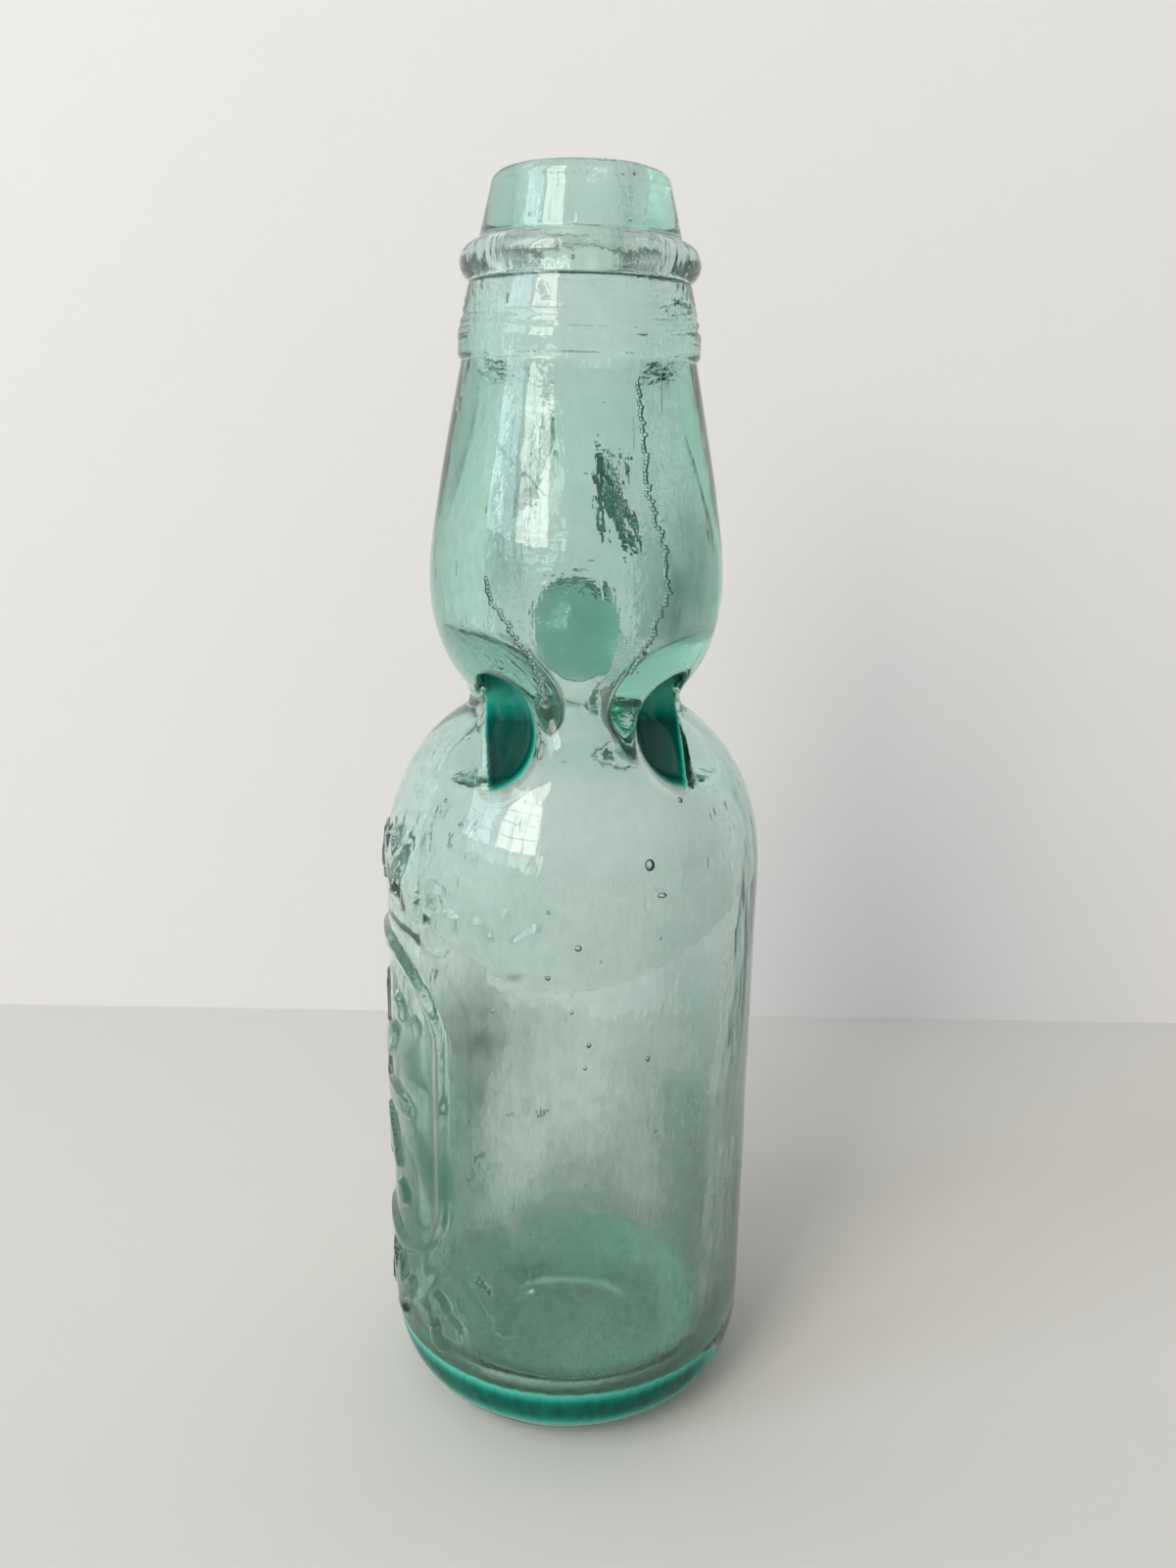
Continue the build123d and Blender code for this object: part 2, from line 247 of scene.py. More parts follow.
# Larger seeds and cracks in the front wall: degrees to the right of the front, then
# millimetres: height, half width and half height
SEEDS = (
    (23.5, 94.5, 0.75, 0.9), (27, 90.2, 0.75, 0.4), (2.5, 83.5, 0.55, 0.5),
    (-6, 79, 0.38, 0.38), (-6, 88.5, 0.3, 0.3), (6, 69, 0.34, 0.4), (24, 66, 0.34, 0.5),
    (5, 65.5, 0.3, 0.3), (1, 74, 0.25, 0.3), (9, 81.5, 0.22, 0.22), (27, 84, 0.15, 0.3),
    (38, 102, 0.4, 0.4), (46, 103, 0.3, 0.25), (-45, 101, 0.3, 0.35), (42, 157, 0.12, 3.6),
    (25, 151, 0.12, 2.2), (-30, 155, 0.14, 0.6), (31, 163.6, 0.9, 0.25), (-37, 168, 0.2, 0.7),
    (8, 150, 0.25, 0.15), (4, 146, 0.3, 0.12), (12, 155, 0.16, 0.12), (36, 140, 0.35, 0.15),
    (44, 128, 0.16, 1.4), (-38, 141, 0.15, 0.5), (-52, 133, 0.12, 1.2), (6, 135, 0.5, 0.14),
    (-3, 128, 0.2, 0.1),
)

# Crackled mould lines: the same degrees and heights, from the top down
CRACKLES = (
    (
        (29.5, 158), (29, 145.6), (31, 142), (34, 139), (37, 136), (37.5, 130), (33, 127),
        (26.7, 120),
    ),
    ((-34.5, 132.5), (-34.2, 130), (-29, 127.3), (-20, 123), (-14.6, 119), (-14.7, 114.5)),
)

# How the seeds of a crackle vary: the pace along it, the sway in degrees, then half width
# and half height in millimetres
CRACKLE_PACE = 0.9
CRACKLE_SWAY = 2.8
CRACKLE_ACROSS = 0.4
CRACKLE_ACROSS_SWING = 0.25
CRACKLE_TALL = 0.42
CRACKLE_TALL_SWING = 0.2

# Shares of the film's pattern that count as bare and as full; how patchy and how even the painted
# shade on the sides is, and how strong on the right; how much the grain shakes the edge of the
# painted light of the backdrop
SMUDGE_RANGE = (0.42, 0.7)
GRAIN_RANGE = (0.35, 0.7)
SMUDGE_SHARE = 0.7
GRAIN_SHARE = 0.3
PATCHES = 0.4
SIDE_SHADE_EVEN = 0.6
BULB_EVEN = 0.5
RIGHT_SHARE = 0.7
SHORE_GRAIN = 0.6

# Where the film on the glass, the painted shade on the sides, the painted light of the backdrop
# and the painted highlight on the neck start and where they are full, along one axis
LOW_ZONE = (78 * MM, 26 * MM)
BASE_ZONE = (15 * MM, 8 * MM)
# Painted shade on the body's left and right sides and on the bulb's right
LEFT_SHADE_SIDE = (-9 * MM, -21 * MM)
LEFT_SHADE_SHARE = (0.05, 0.4)
RIGHT_SIDE = (13 * MM, 23 * MM)
BULB_SIDE = (8.5 * MM, 12 * MM)
BULB_UNDER = (150 * MM, 132 * MM)
BULB_OVER = (116 * MM, 122 * MM)
# Painted highlight on the neck's left
PALE_SIDE = (-8 * MM, -12 * MM)
PALE_UNDER = (162 * MM, 156 * MM)
PALE_OVER = (122 * MM, 134 * MM)
# Painted light of the backdrop seen through the body's front, above a bowed line
SHORE_OVER = (75 * MM, 76 * MM)
BACKDROP_LIGHT_UNDER = (104 * MM, 84 * MM)
BACKDROP_LIGHT_FRONT = (0.0, -8 * MM)

# Painted shade: dark greens painted on the dents, the catches and the heel, from the lightest to
# the darkest
PAINTED_SHADE_COLOURS = (
    (0.15, (0.15, 0.5, 0.39, 1)),
    (0.42, (0.05, 0.36, 0.28, 1)),
    (0.7, (0.003, 0.2, 0.15, 1)),
    (1.0, (0.0, 0.055, 0.042, 1)),
)

# The marble: how finely it is meshed, its lumps, and its scar on a ball of radius 1
BALL_STEPS = 6
BALL_LUMPS_SCALE = 1.6
SCAR_PLACE = (0.45, -0.62, 0.64)
SCAR_RANGE = (0.3, 0.12)

# The ring: how finely it is meshed and how it sways
RING_STEPS = 128
EDGE_STEPS = 6
RING_SWAY_SCALE = 260

# Surface of the rubber
RUBBER_BLOOM_SCALE = 900
RUBBER_GRAIN_SCALE = 2500
RUBBER_GRAIN = 0.05 * MM
RUBBER_IOR = 1.48

# Painted shade on the heel, a dark band: its limits, and the slanted line that it grows stronger
# from
HEEL_UNDER = (13.5 * MM, 9.5 * MM)
HEEL_OVER = (3 * MM, 8 * MM)
HEEL_FRONT = (-2 * MM, -16 * MM)
HEEL_SLANT = 0.3

# Stage: its extent, the windows (turn to the left of the front and rise), and the camera
STAGE_HALF_WIDTH = 1.2
STAGE_FRONT = -1.0
WALL_TOP = 1.3
WINDOW_DISTANCE = 1.5
WINDOW_RISE = (radians(10), radians(54))
WINDOW_PANES = (3, 6)
GLAZING_BAR = 0.04
NEAR_WINDOW = (radians(22), radians(47))
FAR_WINDOW = (radians(51), radians(74))
DIM_SIDE = 0.5
SENSOR_WIDTH = 36
LENS = 36 * 1300 / 1600
CAMERA_PLACE = (2.2 * MM, -189.4 * MM, 149.7 * MM)
CAMERA_TILT = radians(90 - 14.9)
CAMERA_ROLL = 0.016


class Wire:
    """A socket of a node tree that Python's own signs work on."""

    def __init__(self, sheet, socket):
        self.sheet, self.socket = sheet, socket

    def maths(self, operation, *terms):
        return self.sheet.node("ShaderNodeMath", dict(enumerate(terms)), operation=operation)

    def __add__(self, other):
        return self.maths("ADD", self, other)

    def __sub__(self, other):
        return self.maths("SUBTRACT", self, other)

    def __mul__(self, other):
        return self.maths("MULTIPLY", self, other)

    def ramp(self, low, high):
        """Rise smoothly from 0 at low to 1 at high."""
        return self.sheet.node(
            "ShaderNodeMapRange",
            {"Value": self, "From Min": low, "From Max": high},
            interpolation_type="SMOOTHSTEP",
        )


class Sheet:
    """A node tree that nodes are laid out on."""

    def __init__(self, tree):
        self.tree = tree
        self.tree.nodes.clear()

    def node(self, kind, values=None, out=0, **settings):
        """Add a node: its settings first, then what its sockets hold or are wired to."""
        made = self.tree.nodes.new(kind)
        for name, value in settings.items():
            if name == "stops":
                ends = made.color_ramp.elements
                while len(ends) < len(value):
                    ends.new(1)
                for end, (place, colour) in zip(ends, value):
                    end.position, end.color = place, colour
            else:
                setattr(made, name, value)
        for name, value in (values or {}).items():
            if isinstance(value, Wire):
                self.tree.links.new(value.socket, made.inputs[name])
            else:
                made.inputs[name].default_value = value
        return Wire(self, made.outputs[out]) if made.outputs else made

    def noise(self, place, scale, detail):
        values = {"Vector": place, "Scale": scale, "Detail": detail}
        return self.node("ShaderNodeTexNoise", values, "Fac")

    def vector(self, operation, values, out=0):
        """Add a vector operation."""
        return self.node("ShaderNodeVectorMath", values, out, operation=operation)

    def stretched(self, place, stretch):
        """Scale the place along each axis, so that a pattern runs long or short there."""
        return self.vector("MULTIPLY", {0: place, 1: stretch})

    def mix(self, share, first, second):
        """Blend two colours; the first may be wired."""
        start = first if isinstance(first, Wire) else (*first, 1)
        return self.node(
            "ShaderNodeMix", {0: share, 6: start, 7: (*second, 1)}, 2, data_type="RGBA"
        )

    def principled(self, values):
        return self.node("ShaderNodeBsdfPrincipled", values)


def new_material(name):
    material = bpy.data.materials.new(name)
    material.use_nodes = True
    return material, Sheet(material.node_tree)


def surface_film(sheet, place, drawn, uneven):
    """How much of the glass the thin film hides, and the film's colour; the film also carries
    painted shade on the body's sides and the bulb's right, painted light of the backdrop on the
    body's front and a painted highlight on the neck's left.
    """
    smudges = sheet.noise(place, uneven.smudge_scale, 4).ramp(*SMUDGE_RANGE)
    grain = sheet.noise(drawn, uneven.grain_scale, 2).ramp(*GRAIN_RANGE)
    x, y, z = (sheet.node("ShaderNodeSeparateXYZ", {0: place}, axis) for axis in "XYZ")
    low = z.ramp(*LOW_ZONE)
    # Painted shade: dark green on the body's left and right sides and the bulb's right, patchy on
    # the left and on the bulb
    patches = smudges * PATCHES + SIDE_SHADE_EVEN
    side_shade = x.ramp(*LEFT_SHADE_SIDE) * low.ramp(*LEFT_SHADE_SHARE) * patches
    side_shade = side_shade + x.ramp(*RIGHT_SIDE) * low * RIGHT_SHARE
    bulb = x.ramp(*BULB_SIDE) * z.ramp(*BULB_UNDER) * z.ramp(*BULB_OVER)
    side_shade = side_shade + bulb * (smudges * PATCHES + BULB_EVEN)
    # Painted highlight: a pale cover on the neck's left, where the window's reflection falls
    pale = x.ramp(*PALE_SIDE) * z.ramp(*PALE_UNDER) * z.ramp(*PALE_OVER)
    base = z.ramp(*BASE_ZONE)
    # Painted light: a pale band on the front of the body above a bowed line, standing in for the
    # bright backdrop seen through the glass
    shore = z - x * x * uneven.shore_bend - (grain * SHORE_GRAIN + smudges) * MM
    bloom = shore.ramp(*SHORE_OVER) * z.ramp(*BACKDROP_LIGHT_UNDER) * y.ramp(*BACKDROP_LIGHT_FRONT)
    cover = smudges * SMUDGE_SHARE + grain * GRAIN_SHARE
    cover = cover * (low * uneven.low_film + uneven.film)
    cover = cover + bloom * uneven.bloom + base * uneven.base_film + pale * uneven.neck_painted_highlight
    # Low in the body the film turns a darker grey-green, darker towards the bottom
    colour = sheet.mix(low, uneven.film_colour, uneven.low_colour)
    colour = sheet.mix(side_shade, colour, uneven.side_shade_colour)
    colour = sheet.mix(base, colour, uneven.base_colour)
    return cover + side_shade * uneven.side_shade_film, colour


def glass_material(name, uneven, density, tint, ior):
    """Clear glass that takes up light inside, with marks, a thin film that also carries painted
    light and shade, and painted shade on the dents, the catches and the heel.
    """
    material, sheet = new_material(name)
    place = sheet.node("ShaderNodeTexCoord", out="Object")
    # deep holds the painted shade of each point, set on the mesh for the dents, the catches and
    # the heel
    inside, rough_zone, deep = (
        sheet.node("ShaderNodeAttribute", out="Fac", attribute_name=layer)
        for layer in ("inside", "worked", "deep")
    )
    drawn = sheet.stretched(place, (1, 1, uneven.draw))
    streaks = sheet.noise(drawn, uneven.streak_scale, 3)
    ripples = sheet.noise(drawn, uneven.ripple_scale, 1)
    chatter = sheet.noise(sheet.stretched(place, (1, 1, 1.7)), uneven.chatter_scale, 1)
    crinkles = sheet.noise(drawn, uneven.crinkle_scale, 3)
    pits = sheet.node(
        "ShaderNodeTexVoronoi", {"Vector": drawn, "Scale": uneven.pit_scale}, "Distance"
    )
    patches = sheet.noise(place, uneven.patch_scale, 1).ramp(0.5, 0.62)
    pitting = pits.ramp(0.22, 0.08) * patches
    worked = streaks * uneven.streak_height + chatter * uneven.chatter_height * rough_zone
    height = (
        worked * inside * (rough_zone * uneven.worked_gain + 1)
        + ripples * uneven.ripple_height
        + crinkles * uneven.crinkle_height
        - pitting * uneven.pit_depth
    )
    bump = sheet.node("ShaderNodeBump", {"Height": height, "Strength": 1, "Distance": 1})
    haze = sheet.noise(place, uneven.patch_scale, 2).ramp(0.45, 0.75)
    clear = sheet.principled(
        {
            "Base Color": (1, 1, 1, 1),
            "Roughness": haze * inside * uneven.haze,
            "IOR": ior,
            "Transmission Weight": 1.0,
            "Normal": bump,
        }
    )
    cover, film_colour = surface_film(sheet, place, drawn, uneven)
    film = sheet.principled({"Base Color": film_colour, "Roughness": 0.7, "Normal": bump})
    surface = sheet.node("ShaderNodeMixShader", {0: cover * inside, 1: clear, 2: film})
    # Painted shade: a dark green streaked with fringes, laid over the glass where deep is set
    fringes = sheet.noise(sheet.stretched(place, (1, 1, 0.2)), uneven.fringe_scale, 2)
    depth = deep * 1.3 - fringes * 0.3
    shade = sheet.node("ShaderNodeValToRGB", {"Fac": depth}, "Color", stops=PAINTED_SHADE_COLOURS)
    dark = sheet.principled(
        {"Base Color": shade, "Roughness": 0.12, "Specular IOR Level": 0.06, "Normal": bump}
    )
    hidden = depth.ramp(0.02, 0.3) * 0.96
    whole = sheet.node("ShaderNodeMixShader", {0: hidden, 1: surface, 2: dark})
    volume = sheet.node("ShaderNodeVolumeAbsorption", {"Color": (*tint, 1), "Density": density})
    sheet.node("ShaderNodeOutputMaterial", {"Surface": whole, "Volume": volume})
    return material


def rubber_material(finish):
    """Pale gum rubber that has gone glassy, with a faint bloom."""
    material, sheet = new_material("gum_rubber")
    place = sheet.node("ShaderNodeTexCoord", out="Object")
    bloom = sheet.noise(place, RUBBER_BLOOM_SCALE, 3).ramp(0.35, 0.7)
    colour = sheet.mix(bloom, finish.rubber_colour, finish.rubber_bloom)
    grain = sheet.noise(place, RUBBER_GRAIN_SCALE, 2)
    bump = sheet.node("ShaderNodeBump", {"Height": grain, "Distance": RUBBER_GRAIN})
    surface = sheet.principled(
        {
            "Base Color": colour,
            "Roughness": bloom * 0.1 + 0.05,
            "IOR": RUBBER_IOR,
            "Transmission Weight": 1.0,
            "Normal": bump,
        }
    )
    sheet.node("ShaderNodeOutputMaterial", {"Surface": surface})
    return material


def plain_material(name, colour, one_sided=False):
    """A matt stage surface; a one-sided one lets what comes from behind pass through."""
    material, sheet = new_material(name)
    surface = sheet.principled({"Base Color": (*colour, 1), "Roughness": 0.9})
    if one_sided:
        back = sheet.node("ShaderNodeNewGeometry", out="Backfacing")
        clear = sheet.node("ShaderNodeBsdfTransparent")
        surface = sheet.node("ShaderNodeMixShader", {0: back, 1: surface, 2: clear})
    sheet.node("ShaderNodeOutputMaterial", {"Surface": surface})
    return material


def lamp_material(name, colour, strength):
    material, sheet = new_material(name)
    glow = sheet.node("ShaderNodeEmission", {"Color": (*colour, 1), "Strength": strength})
    sheet.node("ShaderNodeOutputMaterial", {"Surface": glow})
    return material


def smooth_step(value, low, high):
    share = np.clip((value - low) / (high - low), 0, 1)
    return share * share * (3 - 2 * share)


def line(start, end):
    """Sample a straight run of an outline."""
    count = ceil(hypot(end[0] - start[0], end[1] - start[1]) / FINE) + 2
    return np.linspace(start, end, count)


def lines(*corners):
    """Sample the straight runs from corner to corner."""
    return [line(start, end) for start, end in zip(corners, corners[1:])]


def arc(centre, radii, start, end):
    """Sample an arc of an ellipse; angles in radians from +r."""
    count = ceil(abs(end - start) * max(radii) / FINE) + 2
    angles = np.linspace(start, end, count)
    return np.stack(
        [centre[0] + radii[0] * np.cos(angles), centre[1] + radii[1] * np.sin(angles)], 1
    )


def bend(points, first, last):
    """Sample a smooth curve through points that starts and ends along two directions."""
    points = np.array(points, float)
    spans = np.linalg.norm(np.diff(points, axis=0), axis=1)
    slopes = np.zeros_like(points)
    slopes[0] = np.array(first) / hypot(*first)
    slopes[-1] = np.array(last) / hypot(*last)
    for i in range(1, len(points) - 1):
        slopes[i] = (points[i + 1] - points[i - 1]) / (spans[i - 1] + spans[i])
    runs = []
    for i, span in enumerate(spans):
        t = np.linspace(0, 1, ceil(span / FINE) + 2)[:, None]
        runs.append(
            (2 * t**3 - 3 * t**2 + 1) * points[i]
            + (t**3 - 2 * t**2 + t) * span * slopes[i]
            + (3 * t**2 - 2 * t**3) * points[i + 1]
            + (t**3 - t**2) * span * slopes[i + 1]
        )
    return np.concatenate(runs)


def circle_through(a, b, c):
    """Sample the arc from a over b to c."""
    a, b, c = (np.array(p, float) for p in (a, b, c))
    sides = np.array([b - a, c - a]) * 2
    sums = np.array([b @ b - a @ a, c @ c - a @ a])
    centre = np.linalg.solve(sides, sums)
    radius = hypot(*(a - centre))
    start, end = (atan2(p[1] - centre[1], p[0] - centre[0]) for p in (a, c))
    return arc(centre, (radius, radius), start, end)


def joined(runs):
    """Put runs end to end, evenly resampled."""
    path = np.concatenate(runs)
    steps = np.concatenate([[0], np.cumsum(np.hypot(*np.diff(path, axis=0).T))])
    keep = np.concatenate([[True], np.diff(steps) > FINE / 100])
    even = np.linspace(0, steps[-1], ceil(steps[-1] / FINE))
    return np.stack([np.interp(even, steps[keep], path[keep, k]) for k in (0, 1)], 1)


def eased(path, reach):
    """Round an outline's corners over a reach, keeping both ends."""
    count = ceil(3 * reach / FINE)
    weights = np.exp(-0.5 * (np.arange(-count, count + 1) * FINE / reach) ** 2)
    weights /= weights.sum()
    soft = path.copy()
    for k in (0, 1):
        soft[count:-count, k] = np.convolve(path[:, k], weights, "valid")
    return soft


def outer_outline(edge_round, waist_round):
    """The outside, from the middle of the foot over the lip to the edge of the mouth."""
    dome_edge = FOOT_RADIUS - FOOT_WIDTH
    dome_radius = (dome_edge**2 + PUSH_UP_RISE**2) / (2 * PUSH_UP_RISE)
    dome_turn = asin(dome_edge / dome_radius)
    collar_radius = NECK_TOP_RADIUS + COLLAR_STEP
    tuck_radius = COLLAR_TOP_RADIUS - TUCK_DEPTH
    neck_middle = BULB_MIDDLE + NECK_HEIGHT * NECK_MIDDLE_SHARE
    bead_crown = BEAD_BOTTOM + BEAD_HEIGHT * BEAD_CROWN_SHARE
    runs = [
        arc(
            (0, PUSH_UP_RISE - dome_radius), (dome_radius, dome_radius), pi / 2, pi / 2 - dome_turn
        ),
        line((dome_edge, 0), (FOOT_RADIUS, 0)),
        arc((FOOT_RADIUS, HEEL_RISE), (BODY_RADIUS - FOOT_RADIUS, HEEL_RISE), -pi / 2, 0),
        line((BODY_RADIUS, HEEL_RISE), (BODY_RADIUS, SHOULDER_START)),
        arc((SHOULDER_CORE, SHOULDER_START), (SHOULDER_SWELL, SHOULDER_REACH), 0, SHOULDER_TURN),
        line((WAIST_RADIUS, WAIST_BOTTOM), (WAIST_RADIUS, WAIST_TOP)),
        arc((BULB_CORE, BULB_MIDDLE), (BULB_SWELL, BULB_REACH), -BULB_TURN, 0),
        bend(
            [
                (BULB_RADIUS, BULB_MIDDLE),
                (NECK_MIDDLE_RADIUS, neck_middle),
                (NECK_TOP_RADIUS, NECK_TOP),
            ],
            (0, 1),
            (-NECK_LEAN_SHARE, 1),
        ),
        *lines(
            (NECK_TOP_RADIUS, NECK_TOP),
            (collar_radius, NECK_TOP + COLLAR_STEP_HEIGHT),
            (collar_radius, NECK_TOP + COLLAR_FLAT_HEIGHT),
            (COLLAR_TOP_RADIUS, COLLAR_TOP),
            (tuck_radius, BEAD_BOTTOM),
        ),
        circle_through(
            (tuck_radius, BEAD_BOTTOM), (BEAD_RADIUS, bead_crown), (LIP_BASE_RADIUS, BEAD_TOP)
        ),
        line((LIP_BASE_RADIUS, BEAD_TOP), (LIP_TOP_RADIUS, BOTTLE_TOP - LIP_ROUND)),
        arc(
            (LIP_TOP_RADIUS - LIP_ROUND, BOTTLE_TOP - LIP_ROUND), (LIP_ROUND, LIP_ROUND), 0, pi / 2
        ),
        line((LIP_TOP_RADIUS - LIP_ROUND, BOTTLE_TOP), (MOUTH_RADIUS + MOUTH_ROUND, BOTTLE_TOP)),
    ]
    return eased_at_waist(joined(runs), edge_round, waist_round)


def eased_at_waist(path, edge_round, waist_round):
    """Round an outline's corners, and those of the waist over a longer reach."""
    crisp, soft = eased(path, edge_round), eased(path, waist_round)
    from_waist = np.abs(path[:, 1] - WAIST_MIDDLE)
    return crisp + (soft - crisp) * smooth_step(from_waist, WAIST_ZONE, WAIST_ZONE / 2)[:, None]


def saddle_gain(outline):
    """How much fuller the front and back of the waist are than its sides, by height."""
    ends = []
    for core, middle, swell, reach, height in (
        (SHOULDER_CORE, SHOULDER_START, SHOULDER_SWELL, SHOULDER_REACH, SADDLE_BOTTOM),
        (BULB_CORE, BULB_MIDDLE, BULB_SWELL, BULB_REACH, SADDLE_TOP),
    ):
        share = (height - middle) / reach
        width = sqrt(1 - share**2)
        ends.append(((core + swell * width, height), (-swell / reach * share / width, 1)))
    (low, low_slope), (high, high_slope) = ends
    curve = bend([low, (SADDLE_RADIUS, WAIST_MIDDLE), high], low_slope, high_slope)
    full = np.interp(outline[:, 1], curve[:, 1], curve[:, 0])
    within = (outline[:, 1] > low[1]) & (outline[:, 1] < high[1])
    return np.where(within, np.maximum(full - outline[:, 0], 0), 0)


def inner_outline(wall, edge_round, waist_round):
    """The inside, from the edge of the mouth down to the middle of the floor."""
    floor_height = PUSH_UP_RISE + FLOOR_THICKNESS
    body_radius = BODY_RADIUS - wall
    heel_radius = body_radius - HEEL_WALL_GAIN
    heel_top = floor_height + INNER_HEEL_RISE
    shoulder_start = SHOULDER_START - SHOULDER_CROWN
    shoulder_core = body_radius - INNER_SHOULDER_SWELL
    shoulder_turn = acos((THROAT_RADIUS - shoulder_core) / INNER_SHOULDER_SWELL)
    throat_bottom = shoulder_start + INNER_SHOULDER_REACH * sin(shoulder_turn)
    throat_top = WAIST_TOP - THROAT_TOP_GAP
    chamber_core = CHAMBER_RADIUS - CHAMBER_SWELL
    chamber_turn = acos((THROAT_RADIUS - chamber_core) / CHAMBER_SWELL)
    chamber_reach = (BULB_MIDDLE - throat_top) / sin(chamber_turn)
    chamber_neck = BULB_MIDDLE + NECK_HEIGHT * CHAMBER_NECK_SHARE
    groove_top = BOTTLE_TOP - LIP_HEIGHT
    rim = (MOUTH_RADIUS + MOUTH_ROUND, BOTTLE_TOP - MOUTH_ROUND)
    runs = [
        arc(rim, (MOUTH_ROUND, MOUTH_ROUND), pi / 2, pi),
        *lines(
            (MOUTH_RADIUS, rim[1]),
            (MOUTH_RADIUS, groove_top),
            (GROOVE_RADIUS, groove_top),
            (GROOVE_RADIUS, GROOVE_BOTTOM),
            (COLLAR_BORE_RADIUS, GROOVE_BOTTOM),
            (COLLAR_BORE_RADIUS, SHELF_BOTTOM),
        ),
        bend(
            [
                (COLLAR_BORE_RADIUS, SHELF_BOTTOM),
                (CHAMBER_NECK_RADIUS, chamber_neck),
                (CHAMBER_RADIUS, BULB_MIDDLE),
            ],
            (0, -1),
            (0, -1),
        ),
        arc((chamber_core, BULB_MIDDLE), (CHAMBER_SWELL, chamber_reach), 0, -chamber_turn),
        line((THROAT_RADIUS, throat_top), (THROAT_RADIUS, throat_bottom)),
        arc(
            (shoulder_core, shoulder_start),
            (INNER_SHOULDER_SWELL, INNER_SHOULDER_REACH),
            shoulder_turn,
            0,
        ),
        line((body_radius, shoulder_start), (heel_radius, heel_top)),
        arc((FLOOR_RADIUS, heel_top), (heel_radius - FLOOR_RADIUS, INNER_HEEL_RISE), 0, -pi / 2),
        line((FLOOR_RADIUS, floor_height), (0, floor_height)),
    ]
    return eased_at_waist(joined(runs), edge_round, waist_round)


def rows_along(path, spacings):
    """Pick points along an outline, closer or further apart by height."""
    heights = [top for top, _ in spacings]
    steps = np.array([step for _, step in spacings])
    wanted = steps[np.minimum(np.searchsorted(heights, path[:, 1]), len(steps) - 1)]
    wanted = np.convolve(np.pad(wanted, 40, "edge"), np.ones(81) / 81, "valid")
    count = np.cumsum(FINE / wanted)
    places = np.arange(len(path))
    chosen = np.interp(np.linspace(count[0], count[-1], ceil(count[-1])), count, places)
    return np.stack([np.interp(chosen, places, path[:, k]) for k in (0, 1)], 1)


def column_angles(heights, count):
    """Angles of the columns in each row: closer at the ornament and round the dents."""
    table = np.linspace(-pi, pi, ANGLE_SAMPLES)
    from_left = np.abs(np.abs(table) - pi)
    ornament = ORNAMENT_CROWDING * smooth_step(from_left, *ORNAMENT_CROWDED)
    turned = np.abs((table - PINCH_TURN + pi / 2) % pi - pi / 2)
    from_dents = np.abs(turned - DENTS_FROM_PINCH)
    dents = DENT_CROWDING * smooth_step(from_dents, *DENTS_CROWDED)
    panel_half = ROW_RISE + LEAF_LENGTH / 2
    angles = np.empty((len(heights), count))
    for i, z in enumerate(heights):
        on_panel = smooth_step(abs(z - PANEL_HEIGHT), panel_half + CROWDING_FADE, panel_half)
        on_dents = smooth_step(abs(z - DENT_MIDDLE), *CROWDED_OVER_DENTS)
        density = 1 + on_panel * ornament + on_dents * dents
        share = np.concatenate([[0], np.cumsum((density[1:] + density[:-1]) / 2)])
        angles[i] = np.interp(np.arange(count) / count * share[-1], share, table)
    return angles


def ellipse_gap(across, up, half_width, half_height):
    """About how far a point lies outside an ellipse."""
    reach = np.sqrt((across / half_width) ** 2 + (up / half_height) ** 2) + 1e-9
    slope = np.sqrt((across / half_width**2) ** 2 + (up / half_height**2) ** 2) / reach + 1e-9
    return (reach - 1) / slope


def box_gap(across, up, half_width, half_height, corner):
    """How far a point lies outside a rectangle with rounded corners."""
    x, z = np.abs(across) - half_width + corner, np.abs(up) - half_height + corner
    outside = np.hypot(np.maximum(x, 0), np.maximum(z, 0))
    return outside + np.minimum(np.maximum(x, z), 0) - corner


def leaf_gap(across, up, turn, start, length, width):
    """How far a point lies outside a leaf that points away from a centre."""
    along = across * cos(turn) + up * sin(turn) - start
    beside = up * cos(turn) - across * sin(turn)
    return ellipse_gap(along, beside, length / 2, width / 2)


